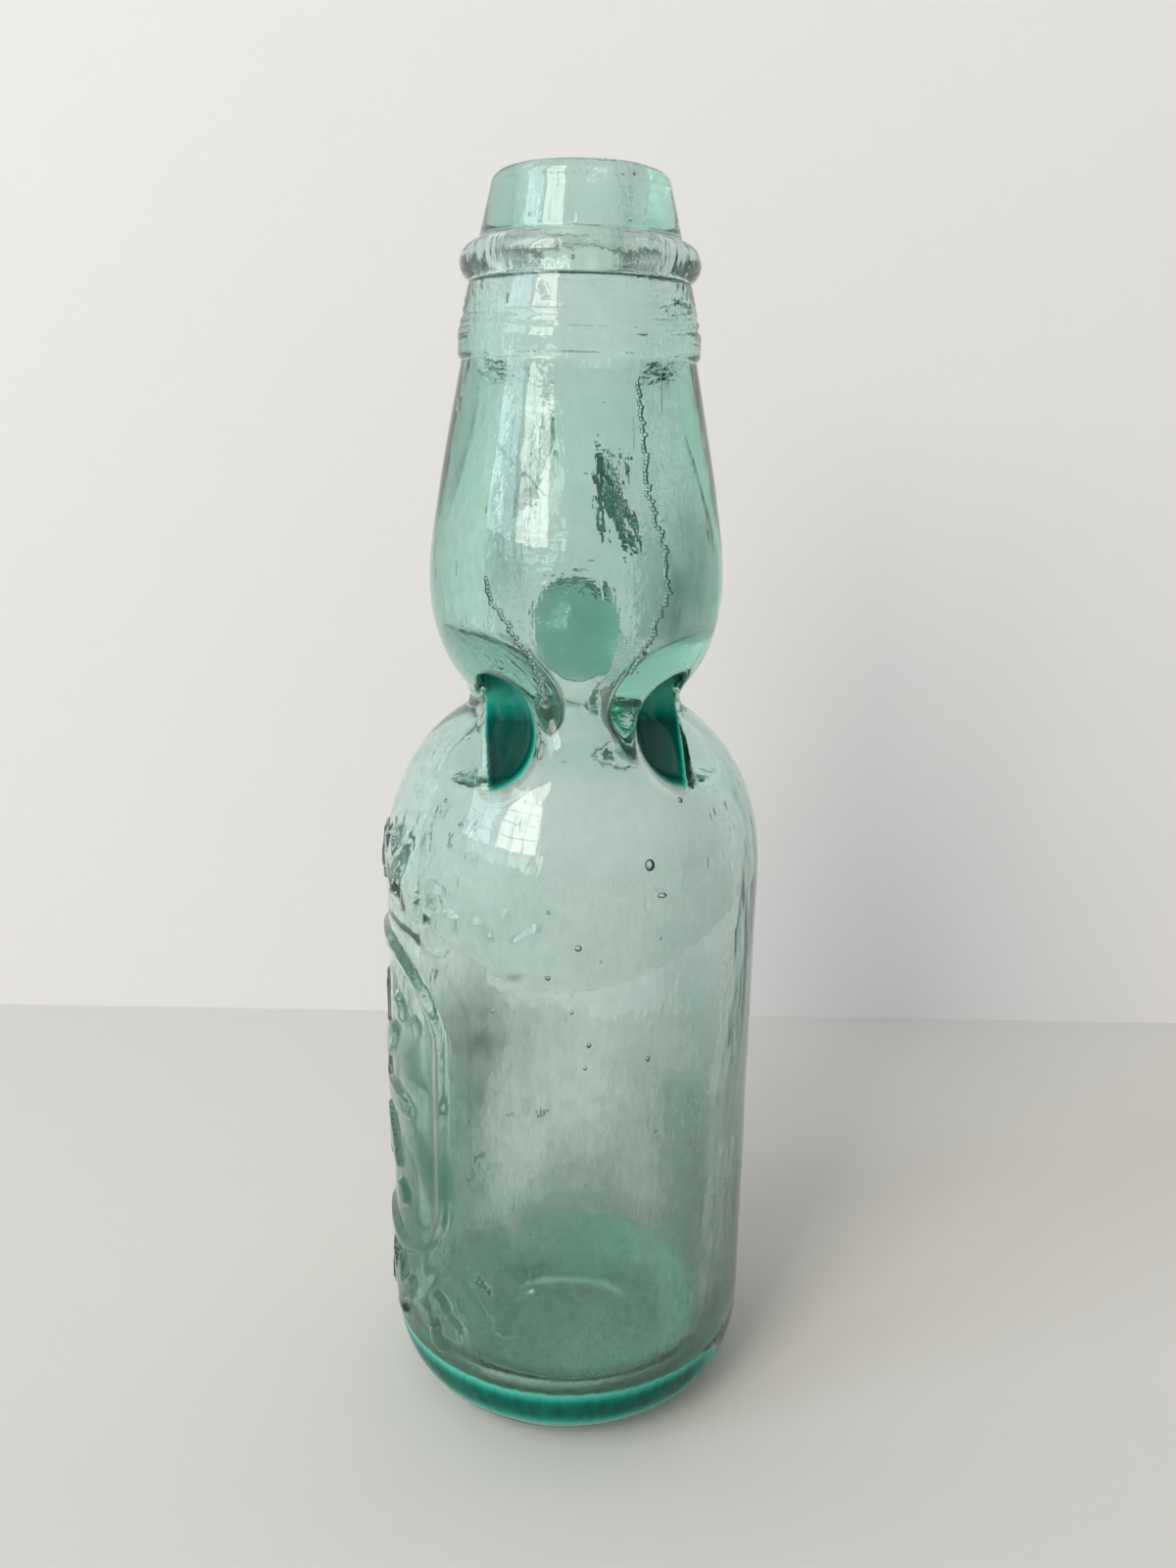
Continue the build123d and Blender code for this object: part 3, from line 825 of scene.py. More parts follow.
def ornament_gap(points):
    """How far each point lies outside the raised ornament, which faces -X."""
    across, up = -points[..., 1], points[..., 2] - PANEL_HEIGHT
    inner_width, inner_reach = PANEL_WIDTH - BORDER_SIDE_STROKE, PANEL_REACH - BORDER_STROKE
    border = np.maximum(
        box_gap(across, up, PANEL_WIDTH, PANEL_REACH, PANEL_CORNER),
        -box_gap(across, up, inner_width, inner_reach, PANEL_CORNER - BORDER_STROKE),
    )
    boss_x = np.abs(across) - inner_width + BOSS_INSET
    boss_z = np.abs(up) - inner_reach + BOSS_INSET
    gaps = [border, np.hypot(across, up) - PETAL_GAP, np.hypot(boss_x, boss_z) - BOSS_RADIUS]
    petal_place = PETAL_GAP * 2 + PETAL_LENGTH / 2
    for i in range(PETAL_COUNT):
        turn = 2 * pi * i / PETAL_COUNT
        gaps.append(leaf_gap(across, up, turn, petal_place, PETAL_LENGTH, PETAL_WIDTH))
    around = np.arctan2(-points[..., 1], -points[..., 0]) * BODY_RADIUS
    for step in range(-ROW_PAIRS, ROW_PAIRS + 1):
        place = step * ROW_STEP
        drop = ROW_ARCH - sqrt(ROW_ARCH**2 - place**2)
        x, z = around - place, np.abs(up) - ROW_RISE + drop
        upright = np.where(up > 0, z, -z)
        if step % 2 == 0:
            for side_x, side_z in ((1, 0), (-1, 0), (0, 1), (0, -1)):
                away = np.hypot(x - side_x * ROSETTE_RADIUS, z - side_z * ROSETTE_RADIUS)
                gaps.append(away - ROSETTE_PETAL)
        else:
            for turn in (pi / 2 - LEAF_SPREAD, pi / 2, pi / 2 + LEAF_SPREAD):
                gaps.append(leaf_gap(x, upright, turn, LEAF_LENGTH / 4, LEAF_LENGTH, LEAF_WIDTH))
    return np.min(gaps, axis=0)


def catches(points, depth):
    """Press the two catches inwards; gives the painted shade of each point, from 0 to 1."""
    deep = np.zeros(points.shape[:2])
    for side, sideways, height, length, firm in CATCHES:
        turn, lean = PINCH_TURN - side * sideways, side * CATCH_LEAN
        angle = np.arctan2(points[..., 1], points[..., 0])
        radius = np.hypot(points[..., 0], points[..., 1])
        around = ((angle - pi / 2 - turn + pi) % (2 * pi) - pi) * radius
        up = points[..., 2] - BULB_MIDDLE - height
        along = np.clip(up * cos(lean) + around * sin(lean), -length / 2, length / 2)
        middle = along * sin(lean) + side * CATCH_BOW * (1 - (2 * along / length) ** 2)
        away = np.hypot(around - middle, up - along * cos(lean)) / CATCH_RADIUS
        share = np.clip(1 - away**2, 0, 1) ** CATCH_FULLNESS * firm
        moved_out(points, -share * depth)
        deep = np.maximum(deep, smooth_step(share, *CATCH_DARK) * firm)
    return deep


def soft_noise(points, scale, stretch, seed):
    """Smooth noise at each point, from -1 to 1, drawn out along the height."""
    flat = points.reshape(-1, 3) * (scale, scale, scale / stretch) + seed
    values = [noise.noise(Vector(p)) for p in flat]
    return np.array(values).reshape(points.shape[:-1])


def turned(points):
    """Give the points' places across and along the plane of the pinch."""
    x, y = points[..., 0], points[..., 1]
    return (x * cos(PINCH_TURN) + y * sin(PINCH_TURN), y * cos(PINCH_TURN) - x * sin(PINCH_TURN))


def turned_back(points, x, y):
    """Set the points' places from those across and along the plane of the pinch."""
    points[..., 0] = x * cos(PINCH_TURN) - y * sin(PINCH_TURN)
    points[..., 1] = x * sin(PINCH_TURN) + y * cos(PINCH_TURN)


def press_dents(points, outline, gain, shape):
    """Press the four half-round dents of the waist into the outside; also give the painted shade
    of the two front dents.
    """
    centre = np.array([DENT_SPREAD, DENT_MIDDLE])
    x, y = turned(points)
    z = points[..., 2]
    far, wall, taper = shape.dent_radius, shape.dent_wall, shape.dent_taper
    away = np.stack([np.abs(x), z], -1) - centre
    reach = np.linalg.norm(away, axis=-1)
    within = (reach < far) & (np.abs(x) < DENT_SPREAD)
    ray = away / np.maximum(reach, 1e-9)[..., None]
    sink = np.clip((far - reach) / wall, 0, 1)
    new_reach = np.where(
        reach > far - wall, far - taper * sink, reach / (far - wall) * (far - taper)
    )
    rim = centre + ray * far
    placed = centre + ray * new_reach[..., None]
    solid_r, solid_z = outline[:, 0], outline[:, 1]

    def surface(across, height, fuller):
        radius = np.interp(height, solid_z, solid_r + gain * fuller)
        return np.sqrt(np.maximum(radius**2 - across**2, (WEB_THICKNESS / 2) ** 2))

    below_top = DENT_MIDDLE + far - placed[..., 1]
    floor = shape.web_half + tan(DENT_LEAN) * np.clip(below_top, 0, 2 * far)
    round_wall = floor + (surface(rim[..., 0], rim[..., 1], 1) - floor) * (1 - sink)
    side_sink = np.clip((DENT_SPREAD - placed[..., 0]) / (wall / 2), 0, 1)
    side_wall = floor + (surface(DENT_SPREAD, placed[..., 1], 0) - floor) * (1 - side_sink)
    depth = np.maximum(round_wall, side_wall)
    new_x = np.where(within, placed[..., 0], np.abs(x)) * np.sign(x)
    new_z = np.where(within, placed[..., 1], z)
    new_y = np.where(within, np.minimum(depth, np.abs(y)), np.abs(y)) * np.sign(y)
    turned_back(points, new_x, new_y)
    points[..., 2] = new_z
    edge = np.minimum(np.abs(reach - far), np.hypot(np.maximum(reach - far, 0), away[..., 0]))
    weights = smooth_step(np.where(np.abs(x) < DENT_SPREAD + 1 * MM, edge, 1), *RELAX_REACH)
    upper = smooth_step(z, DENT_MIDDLE - 1 * MM, DENT_MIDDLE + far / 2)
    # Painted shade in the two front dents: full in from the edge, paler towards the top, more so
    # on the right
    fade = 1 - upper * np.where(x < 0, shape.dent_shade_fade, shape.dent_shade_fade * RIGHT_FADE_GAIN)
    dent_painted_shade = smooth_step(np.minimum(sink, side_sink), *DARK_FROM_EDGE) * fade * (y < 0)
    return weights, np.where(within & (np.abs(y) > depth), dent_painted_shade, 0)


def press_ridges(points, shape):
    """Push the ridges behind the dents into the throat."""
    x, y = turned(points)
    rise = points[..., 2] - DENT_MIDDLE - RIDGE_LIFT
    ridge = shape.dent_radius + PINCH_WALL
    half = DENT_SPREAD - np.sqrt(np.clip(ridge**2 - rise**2, 0, None))
    soft = shape.ridge_soft
    over = (np.abs(x) - half) / soft
    kept = np.abs(x) - soft * np.log1p(np.exp(np.clip(over, -40, 40)))
    below_top = DENT_MIDDLE + shape.dent_radius - points[..., 2]
    start = WEB_THICKNESS / 2 - WEB_WALL / cos(DENT_LEAN) + below_top * tan(DENT_LEAN)
    beside = smooth_step(np.abs(y) - start, *RIDGE_START) * (np.abs(rise) < ridge)
    new_x = (np.abs(x) + (kept - np.abs(x)) * beside) * np.sign(x)
    turned_back(points, new_x, y)


def relax(points, weights, rounds):
    """Even out a grid of points where the weights say so."""
    for _ in range(rounds):
        mean = (np.roll(points, 1, 1) + np.roll(points, -1, 1)) / 4
        mean[1:-1] += (points[2:] + points[:-2]) / 4
        mean[0], mean[-1] = points[0], points[-1]
        points += (mean - points) * weights[..., None] * RELAX_STEP
    return points


def turned_grid(rows, count):
    """Turn an outline's rows about the bottle's axis."""
    angles = column_angles(rows[:, 1], count)
    return np.stack(
        [
            rows[:, 0:1] * np.cos(angles),
            rows[:, 0:1] * np.sin(angles),
            np.repeat(rows[:, 1:2], count, 1),
        ],
        -1,
    )


def moved_out(points, amount):
    """Move points away from the axis."""
    radius = np.hypot(points[..., 0], points[..., 1])
    grow = (radius + amount) / np.maximum(radius, 1e-6)
    points[..., 0] *= grow
    points[..., 1] *= grow


def heel_painted_shade(points, shape):
    """How strong the painted shade on the heel's thick glass is, from 0 to 1; most at the front
    left.
    """
    x, y, z = (points[..., k] for k in range(3))
    band = smooth_step(z, *HEEL_UNDER) * smooth_step(z, *HEEL_OVER)
    return band * smooth_step(y + HEEL_SLANT * x, *HEEL_FRONT) * shape.heel_painted_shade


def outer_points(shape):
    """The outside of the glass as a grid of points, with the painted shade of each point."""
    outline = outer_outline(shape.edge_round, shape.waist_round)
    rows = rows_along(outline, OUTER_SPACING)
    points = turned_grid(rows, OUTER_COLUMNS)
    z = points[..., 2]
    on_wall = smooth_step(z, *OUTER_WAVES_OVER)
    calm = 1 - COLLAR_CALM * smooth_step(z, *COLLAR_CALM_OVER)
    waves = soft_noise(points, scale=90, stretch=2.2, seed=11.3) * shape.outer_waves
    moved_out(points, -np.abs(waves) * on_wall * calm)
    blur = 1 + RELIEF_BLUR * smooth_step(points[..., 1], *RELIEF_BEHIND)
    raised = smooth_step(ornament_gap(points) / blur, *RELIEF_EDGE) * (points[..., 0] < 0)
    moved_out(points, raised * RELIEF_HEIGHT)
    upright = outline[:, 1] > HEEL_RISE
    sides, gain = outline[upright], saddle_gain(outline[upright])
    across = np.abs(turned(points)[0])
    fuller = smooth_step(across, DENT_SPREAD, DENT_SPREAD - SADDLE_BLEND)
    moved_out(points, np.interp(z, sides[:, 1], gain) * fuller)
    # deep: painted shade of the catches and the heel
    deep = np.maximum(catches(points, CATCH_DEPTH), heel_painted_shade(points, shape))
    angle = np.arctan2(points[..., 1], points[..., 0])
    lap = NECK_TOP + COLLAR_FLAT_HEIGHT + shape.lap_wander * np.sin(2 * angle + 1.1)
    crease = smooth_step(np.abs(z - lap), LAP_REACH, 0) * shape.lap_depth
    moved_out(points, -crease * (LAP_SHARE + LAP_SWING * np.sin(angle + 2.2)))
    second = lap + SECOND_LAP_RISE + shape.lap_wander * SECOND_LAP_SHARE * np.sin(3 * angle)
    crease = smooth_step(np.abs(z - second), SECOND_LAP_REACH, 0) * shape.lap_depth
    moved_out(points, -crease * SECOND_LAP_SHARE)
    weights, dent_painted_shade = press_dents(points, sides, gain, shape)
    return relax(points, weights, shape.dent_relax), np.maximum(deep, dent_painted_shade)


def inner_points(shape):
    """The inside of the glass as a grid of points, with the painted shade of each point."""
    outline = inner_outline(shape.body_wall, shape.edge_round, shape.throat_round)
    rows = rows_along(outline, INNER_SPACING)
    points = turned_grid(rows, INNER_COLUMNS)
    z = points[..., 2]
    on_wall = smooth_step(z, *INNER_WAVES_OVER) * smooth_step(z, GROOVE_BOTTOM, SHELF_BOTTOM)
    waves = soft_noise(points, scale=110, stretch=2.5, seed=47.1) * shape.inner_waves
    worked = smooth_step(z, *CHATTER_OVER)
    chatter = soft_noise(points, scale=420, stretch=1.6, seed=3.7) * shape.chamber_chatter
    chatter *= worked
    moved_out(points, (waves + chatter) * on_wall)
    # deep: painted shade of the catches' bumps
    deep = catches(points, CATCH_BUMP)
    press_ridges(points, shape)
    return points, deep


def grid_faces(grid):
    """Four-sided faces between the rows of a closed grid of point numbers."""
    beside = np.roll(grid, -1, 1)
    return np.stack([grid[:-1], beside[:-1], beside[1:], grid[1:]], -1).reshape(-1, 4).tolist()


def glass_mesh(shape):
    """Join the outside and the inside to one closed wall of glass."""
    (outer, outer_painted_shade), (inner, inner_painted_shade) = outer_points(shape), inner_points(shape)
    outer, inner = outer[1:], inner[1:-1]
    low, floor = [[0, 0, PUSH_UP_RISE]], [[0, 0, PUSH_UP_RISE + FLOOR_THICKNESS]]
    points = np.concatenate([low, outer.reshape(-1, 3), inner.reshape(-1, 3), floor])
    inner_start, last = 1 + outer.shape[0] * OUTER_COLUMNS, len(points) - 1
    outer_grid = np.arange(1, inner_start).reshape(-1, OUTER_COLUMNS)
    inner_grid = np.arange(inner_start, last).reshape(-1, INNER_COLUMNS)
    foot, rim = outer_grid[0].tolist(), outer_grid[-1].tolist()
    mouth, base = inner_grid[0].tolist(), inner_grid[-1].tolist()
    faces = [(0, foot[(j + 1) % OUTER_COLUMNS], foot[j]) for j in range(OUTER_COLUMNS)]
    faces += grid_faces(outer_grid) + grid_faces(inner_grid)
    for j in range(INNER_COLUMNS):
        left, middle, right = (rim[(2 * j + k) % OUTER_COLUMNS] for k in range(3))
        below, beside = (mouth[(j + k) % INNER_COLUMNS] for k in range(2))
        faces += [(left, middle, below), (middle, beside, below), (middle, right, beside)]
    faces += [(base[j], base[(j + 1) % INNER_COLUMNS], last) for j in range(INNER_COLUMNS)]
    seeds = seed_places(shape)
    places = np.concatenate([points, seeds[:, :3]])
    mesh = bpy.data.meshes.new("glass_wall")
    mesh.from_pydata(places.tolist(), [], faces)
    inside, deep, sizes = (np.zeros(s) for s in (len(places), len(places), (len(places), 3)))
    inside[inner_start : last + 1] = 1
    # The painted shade of each point goes into the deep attribute
    deep[1:inner_start] = outer_painted_shade[1:].ravel()
    deep[inner_start:last] = inner_painted_shade[1:-1].ravel()
    sizes[last + 1 :] = seeds[:, 3:]
    for name, kind, field, values in (
        ("inside", "FLOAT", "value", inside),
        ("worked", "FLOAT", "value", smooth_step(places[:, 2], *WORKED_OVER)),
        ("deep", "FLOAT", "value", deep),
        ("seed_size", "FLOAT_VECTOR", "vector", sizes),
    ):
        layer = mesh.attributes.new(name, kind, "POINT")
        layer.data.foreach_set(field, values.astype(np.float32).ravel())
    mesh.shade_smooth()
    return mesh


def seed_places(shape):
    """Where the larger seeds and the crackles lie in the front wall, and their half sizes."""
    chosen = list(SEEDS)
    for crackle in CRACKLES:
        turns, heights = np.array(crackle[::-1]).T
        for height in np.arange(heights[0], heights[-1], shape.crackle_step / MM):
            jitter = noise.noise(Vector((height * CRACKLE_PACE, turns[0], 0)))
            turn = np.interp(height, heights, turns) + jitter * CRACKLE_SWAY
            across = CRACKLE_ACROSS + CRACKLE_ACROSS_SWING * jitter
            tall = CRACKLE_TALL - CRACKLE_TALL_SWING * jitter
            chosen.append((turn, height, across, tall))
    outline = outer_outline(shape.edge_round, shape.waist_round)
    outline = outline[outline[:, 1] > HEEL_RISE]
    places = []
    for turn, height, across, tall in chosen:
        depth = np.interp(height * MM, outline[:, 1], outline[:, 0]) - shape.seed_depth
        angle = radians(turn)
        size = (across * MM, min(across, tall) * MM, tall * MM)
        places.append((depth * sin(angle), -depth * cos(angle), height * MM, *size))
    return np.array(places)


def new_group(name, inputs, has_geometry):
    """Start a geometry node group with named inputs."""
    tree = bpy.data.node_groups.new(name, "GeometryNodeTree")
    face = tree.interface
    if has_geometry:
        face.new_socket("Geometry", in_out="INPUT", socket_type="NodeSocketGeometry")
    for label, kind, value in inputs:
        socket = face.new_socket(label, in_out="INPUT", socket_type=f"NodeSocket{kind}")
        socket.default_value = value
    face.new_socket("Geometry", in_out="OUTPUT", socket_type="NodeSocketGeometry")
    sheet = Sheet(tree)
    entry = tree.nodes.new("NodeGroupInput")
    given = {socket.name: Wire(sheet, socket) for socket in entry.outputs if socket.name}
    return tree, sheet, given


def put_out(sheet, geometry, material):
    """End a node group: one mesh in one material."""
    real = sheet.node("GeometryNodeRealizeInstances", {"Geometry": geometry})
    made = sheet.node("GeometryNodeSetMaterial", {"Geometry": real, "Material": material})
    sheet.node("NodeGroupOutput", {"Geometry": made})


def run_group(piece, tree, values):
    """Put a node group on a piece, set its inputs and keep the result as a plain mesh."""
    modifier = piece.modifiers.new(tree.name, "NODES")
    modifier.node_group = tree
    for item in tree.interface.items_tree:
        if item.in_out == "INPUT" and item.name in values:
            modifier[item.identifier] = values[item.name]
    evaluated = piece.evaluated_get(bpy.context.evaluated_depsgraph_get())
    mesh = bpy.data.meshes.new_from_object(evaluated)
    piece.modifiers.remove(modifier)
    piece.data = mesh
    mesh.name = piece.name


def new_piece(name, mesh):
    piece = bpy.data.objects.new(name, mesh)
    bpy.context.scene.collection.objects.link(piece)
    return piece


def seed_group():
    """Gas seeds in the wall: the chosen ones and a scatter of small ones."""
    inputs = [
        ("Seeds per Square Metre", "Float", 1400.0),
        ("Smallest", "Float", 0.08 * MM),
        ("Largest", "Float", 0.28 * MM),
        ("Depth", "Float", 1.5 * MM),
        ("Stretch", "Float", 1.3),
        ("Scatter", "Int", 7),
        ("Glass", "Material", None),
    ]
    tree, sheet, given = new_group("gas_seeds", inputs, True)
    size, inside = (
        sheet.node("GeometryNodeInputNamedAttribute", {"Name": layer}, data_type=kind)
        for kind, layer in (("FLOAT_VECTOR", "seed_size"), ("FLOAT", "inside"))
    )
    widest = sheet.vector("LENGTH", {0: size}, 1)
    chosen = sheet.node("FunctionNodeCompare", {0: widest, 1: 0.0}, operation="GREATER_THAN")
    parts = sheet.node(
        "GeometryNodeSeparateGeometry", {"Geometry": given["Geometry"], "Selection": chosen}
    )
    wall = Wire(sheet, parts.socket.node.outputs["Inverted"])
    outside = sheet.node("FunctionNodeCompare", {0: inside, 1: 0.5}, operation="LESS_THAN")
    points = sheet.node(
        "GeometryNodeDistributePointsOnFaces",
        {
            "Mesh": wall,
            "Selection": outside,
            "Density": given["Seeds per Square Metre"],
            "Seed": given["Scatter"],
        },
    )
    normal = Wire(sheet, points.socket.node.outputs["Normal"])
    inward = sheet.vector("SCALE", {"Vector": normal, "Scale": given["Depth"] * -1.0})
    sunk = sheet.node("GeometryNodeSetPosition", {"Geometry": points, "Offset": inward})
    drawn = sheet.node(
        "FunctionNodeRandomValue",
        {2: given["Smallest"], 3: given["Largest"], "Seed": given["Scatter"]},
        1,
        data_type="FLOAT",
    )
    round_size = sheet.node(
        "ShaderNodeCombineXYZ", {0: drawn, 1: drawn, 2: drawn * given["Stretch"]}
    )
    sized = sheet.node(
        "GeometryNodeStoreNamedAttribute",
        {"Geometry": sunk, "Name": "seed_size", "Value": round_size},
        data_type="FLOAT_VECTOR",
        domain="POINT",
    )
    chosen_points = sheet.node("GeometryNodeMeshToPoints", {"Mesh": parts, "Radius": 0.1 * MM})
    both = tree.nodes.new("GeometryNodeJoinGeometry")
    tree.links.new(sized.socket, both.inputs[0])
    tree.links.new(chosen_points.socket, both.inputs[0])
    ball = sheet.node("GeometryNodeMeshIcoSphere", {"Radius": 1.0, "Subdivisions": 2})
    turned = sheet.node("GeometryNodeFlipFaces", {"Mesh": ball})
    copies = sheet.node(
        "GeometryNodeInstanceOnPoints",
        {"Points": Wire(sheet, both.outputs[0]), "Instance": turned, "Scale": size},
    )
    real = sheet.node("GeometryNodeRealizeInstances", {"Geometry": copies})
    smooth = sheet.node("GeometryNodeSetShadeSmooth", {"Geometry": real})
    whole = tree.nodes.new("GeometryNodeJoinGeometry")
    tree.links.new(smooth.socket, whole.inputs[0])
    tree.links.new(wall.socket, whole.inputs[0])
    put_out(sheet, Wire(sheet, whole.outputs[0]), given["Glass"])
    return tree


def marble_group():
    """A glass ball that is a little out of round, with the scar where it was cut off."""
    inputs = [
        ("Radius", "Float", 6.7 * MM),
        ("Height", "Float", 120 * MM),
        ("Out of Round", "Float", 0.08 * MM),
        ("Scar Depth", "Float", 0.25 * MM),
        ("Glass", "Material", None),
    ]
    tree, sheet, given = new_group("cut_marble", inputs, False)
    ball = sheet.node("GeometryNodeMeshIcoSphere", {"Radius": 1.0, "Subdivisions": BALL_STEPS})
    place = sheet.node("GeometryNodeInputPosition")
    lumps = sheet.noise(place, BALL_LUMPS_SCALE, 1)
    scar = sheet.vector("DISTANCE", {0: place, 1: SCAR_PLACE}, 1).ramp(*SCAR_RANGE)
    radius = given["Radius"] - lumps * given["Out of Round"] - scar * given["Scar Depth"]
    grown = sheet.vector("SCALE", {"Vector": place, "Scale": radius})
    lift = sheet.node("ShaderNodeCombineXYZ", {2: given["Height"]})
    moved = sheet.vector("ADD", {0: grown, 1: lift})
    shaped = sheet.node("GeometryNodeSetPosition", {"Geometry": ball, "Position": moved})
    smooth = sheet.node("GeometryNodeSetShadeSmooth", {"Geometry": shaped})
    put_out(sheet, smooth, given["Glass"])
    return tree


def ring_group():
    """A rubber ring: a rounded rectangle swept round a circle, gone a little wavy."""
    inputs = [
        ("Bore Radius", "Float", 5.5 * MM),
        ("Outer Radius", "Float", 11.9 * MM),
        ("Bottom", "Float", 172 * MM),
        ("Height", "Float", 5.4 * MM),
        ("Edge Round", "Float", 0.8 * MM),
        ("Waves", "Float", 0.08 * MM),
        ("Rubber", "Material", None),
    ]
    tree, sheet, given = new_group("sealing_ring", inputs, False)
    width = given["Outer Radius"] - given["Bore Radius"]
    path = sheet.node(
        "GeometryNodeCurvePrimitiveCircle",
        {"Resolution": RING_STEPS, "Radius": given["Bore Radius"] + width * 0.5},
        mode="RADIUS",
    )
    frame_curve = sheet.node(
        "GeometryNodeCurvePrimitiveQuadrilateral",
        {"Width": width, "Height": given["Height"]},
        mode="RECTANGLE",
    )
    rounded = sheet.node(
        "GeometryNodeFilletCurve",
        {"Curve": frame_curve, "Count": EDGE_STEPS, "Radius": given["Edge Round"]},
        mode="POLY",
    )
    swept = sheet.node("GeometryNodeCurveToMesh", {"Curve": path, "Profile Curve": rounded})
    place = sheet.node("GeometryNodeInputPosition")
    sway = (sheet.noise(place, RING_SWAY_SCALE, 1) - 0.5) * given["Waves"]
    middle = given["Bottom"] + given["Height"] * 0.5
    lift = sheet.node("ShaderNodeCombineXYZ", {0: sway, 1: sway, 2: middle})
    shaped = sheet.node("GeometryNodeSetPosition", {"Geometry": swept, "Offset": lift})
    smooth = sheet.node("GeometryNodeSetShadeSmooth", {"Geometry": shaped})
    put_out(sheet, smooth, given["Rubber"])
    return tree


def length(name, description, default):
    return bpy.props.FloatProperty(
        name=name, description=description, default=default, unit="LENGTH", precision=5
    )


def colour(name, description, default):
    return bpy.props.FloatVectorProperty(
        name=name, description=description, default=default, subtype="COLOR", min=0, max=1
    )


def number(name, description, default):
    return bpy.props.FloatProperty(name=name, description=description, default=default)


class BottleShape(bpy.types.PropertyGroup):
    """Sizes of the glass that a user would change."""

    body_wall: length("Body Wall", "Thickness of the body's side", 4.3 * MM)
    dent_radius: length("Dent Radius", "Radius of the half-round dents", 7.9 * MM)
    dent_wall: length("Dent Wall", "Width of the grid that forms a dent's wall", 2.6 * MM)
    dent_taper: length("Dent Taper", "How far a dent's wall leans inwards", 0.9 * MM)
    web_half: length("Web Half", "Half the glass left between two dents", WEB_THICKNESS / 2)
    # How much paler the painted shade of the dents is at their top
    dent_shade_fade: number("Dent Fade", "How much paler a dent is at its top", 0.5)
    # Strength of the painted shade on the heel
    heel_painted_shade: number("Foot Depth", "How dark the thick heel is", 0.82)
    dent_relax: bpy.props.IntProperty(
        name="Dent Relax", description="Rounds of smoothing on the dents' edges", default=5
    )
    edge_round: length("Edge Round", "How far the tooled edges are rounded", 0.12 * MM)
    waist_round: length("Waist Round", "How far the creases of the waist are rounded", 1.3 * MM)
    ridge_soft: length("Ridge Softness", "How gently the throat narrows", 0.8 * MM)
    throat_round: length("Throat Round", "How far the throat's creases are rounded", 1.8 * MM)
    outer_waves: length("Outer Waves", "Depth of the waves of the outside", 0.12 * MM)
    inner_waves: length("Inner Waves", "Depth of the waves of the inside", 0.3 * MM)
    chamber_chatter: length("Chamber Chatter", "Depth of the chamber's rough wall", 0.12 * MM)
    lap_wander: length("Lap Wander", "How far the collar's lap line wanders", 0.7 * MM)
    lap_depth: length("Lap Depth", "Depth of the collar's lap line", 0.45 * MM)
    crackle_step: length("Crackle Step", "From one mark of a crackled line to the next", 0.5 * MM)
    seed_depth: length("Seed Depth", "How deep the larger seeds lie", 1.5 * MM)


class GlassFinish(bpy.types.PropertyGroup):
    """Colours and surface of the glass, the marble and the rubber."""

    ior: number("IOR", "Index of refraction of the glass", 1.5)
    density: number("Density", "How strongly the glass takes up light, per metre", 50.0)
    tint: colour("Tint", "Colour that the glass lets through", (0.28, 0.73, 0.61))
    marble_density: number("Marble Density", "The same for the marble", 150.0)
    marble_tint: colour("Marble Tint", "Colour that the marble lets through", (0.13, 0.66, 0.56))
    rubber_colour: colour("Rubber", "Colour of the ring", (0.88, 0.93, 0.9))
    rubber_bloom: colour("Rubber Bloom", "Colour of the bloom on the ring", (0.95, 0.97, 0.95))


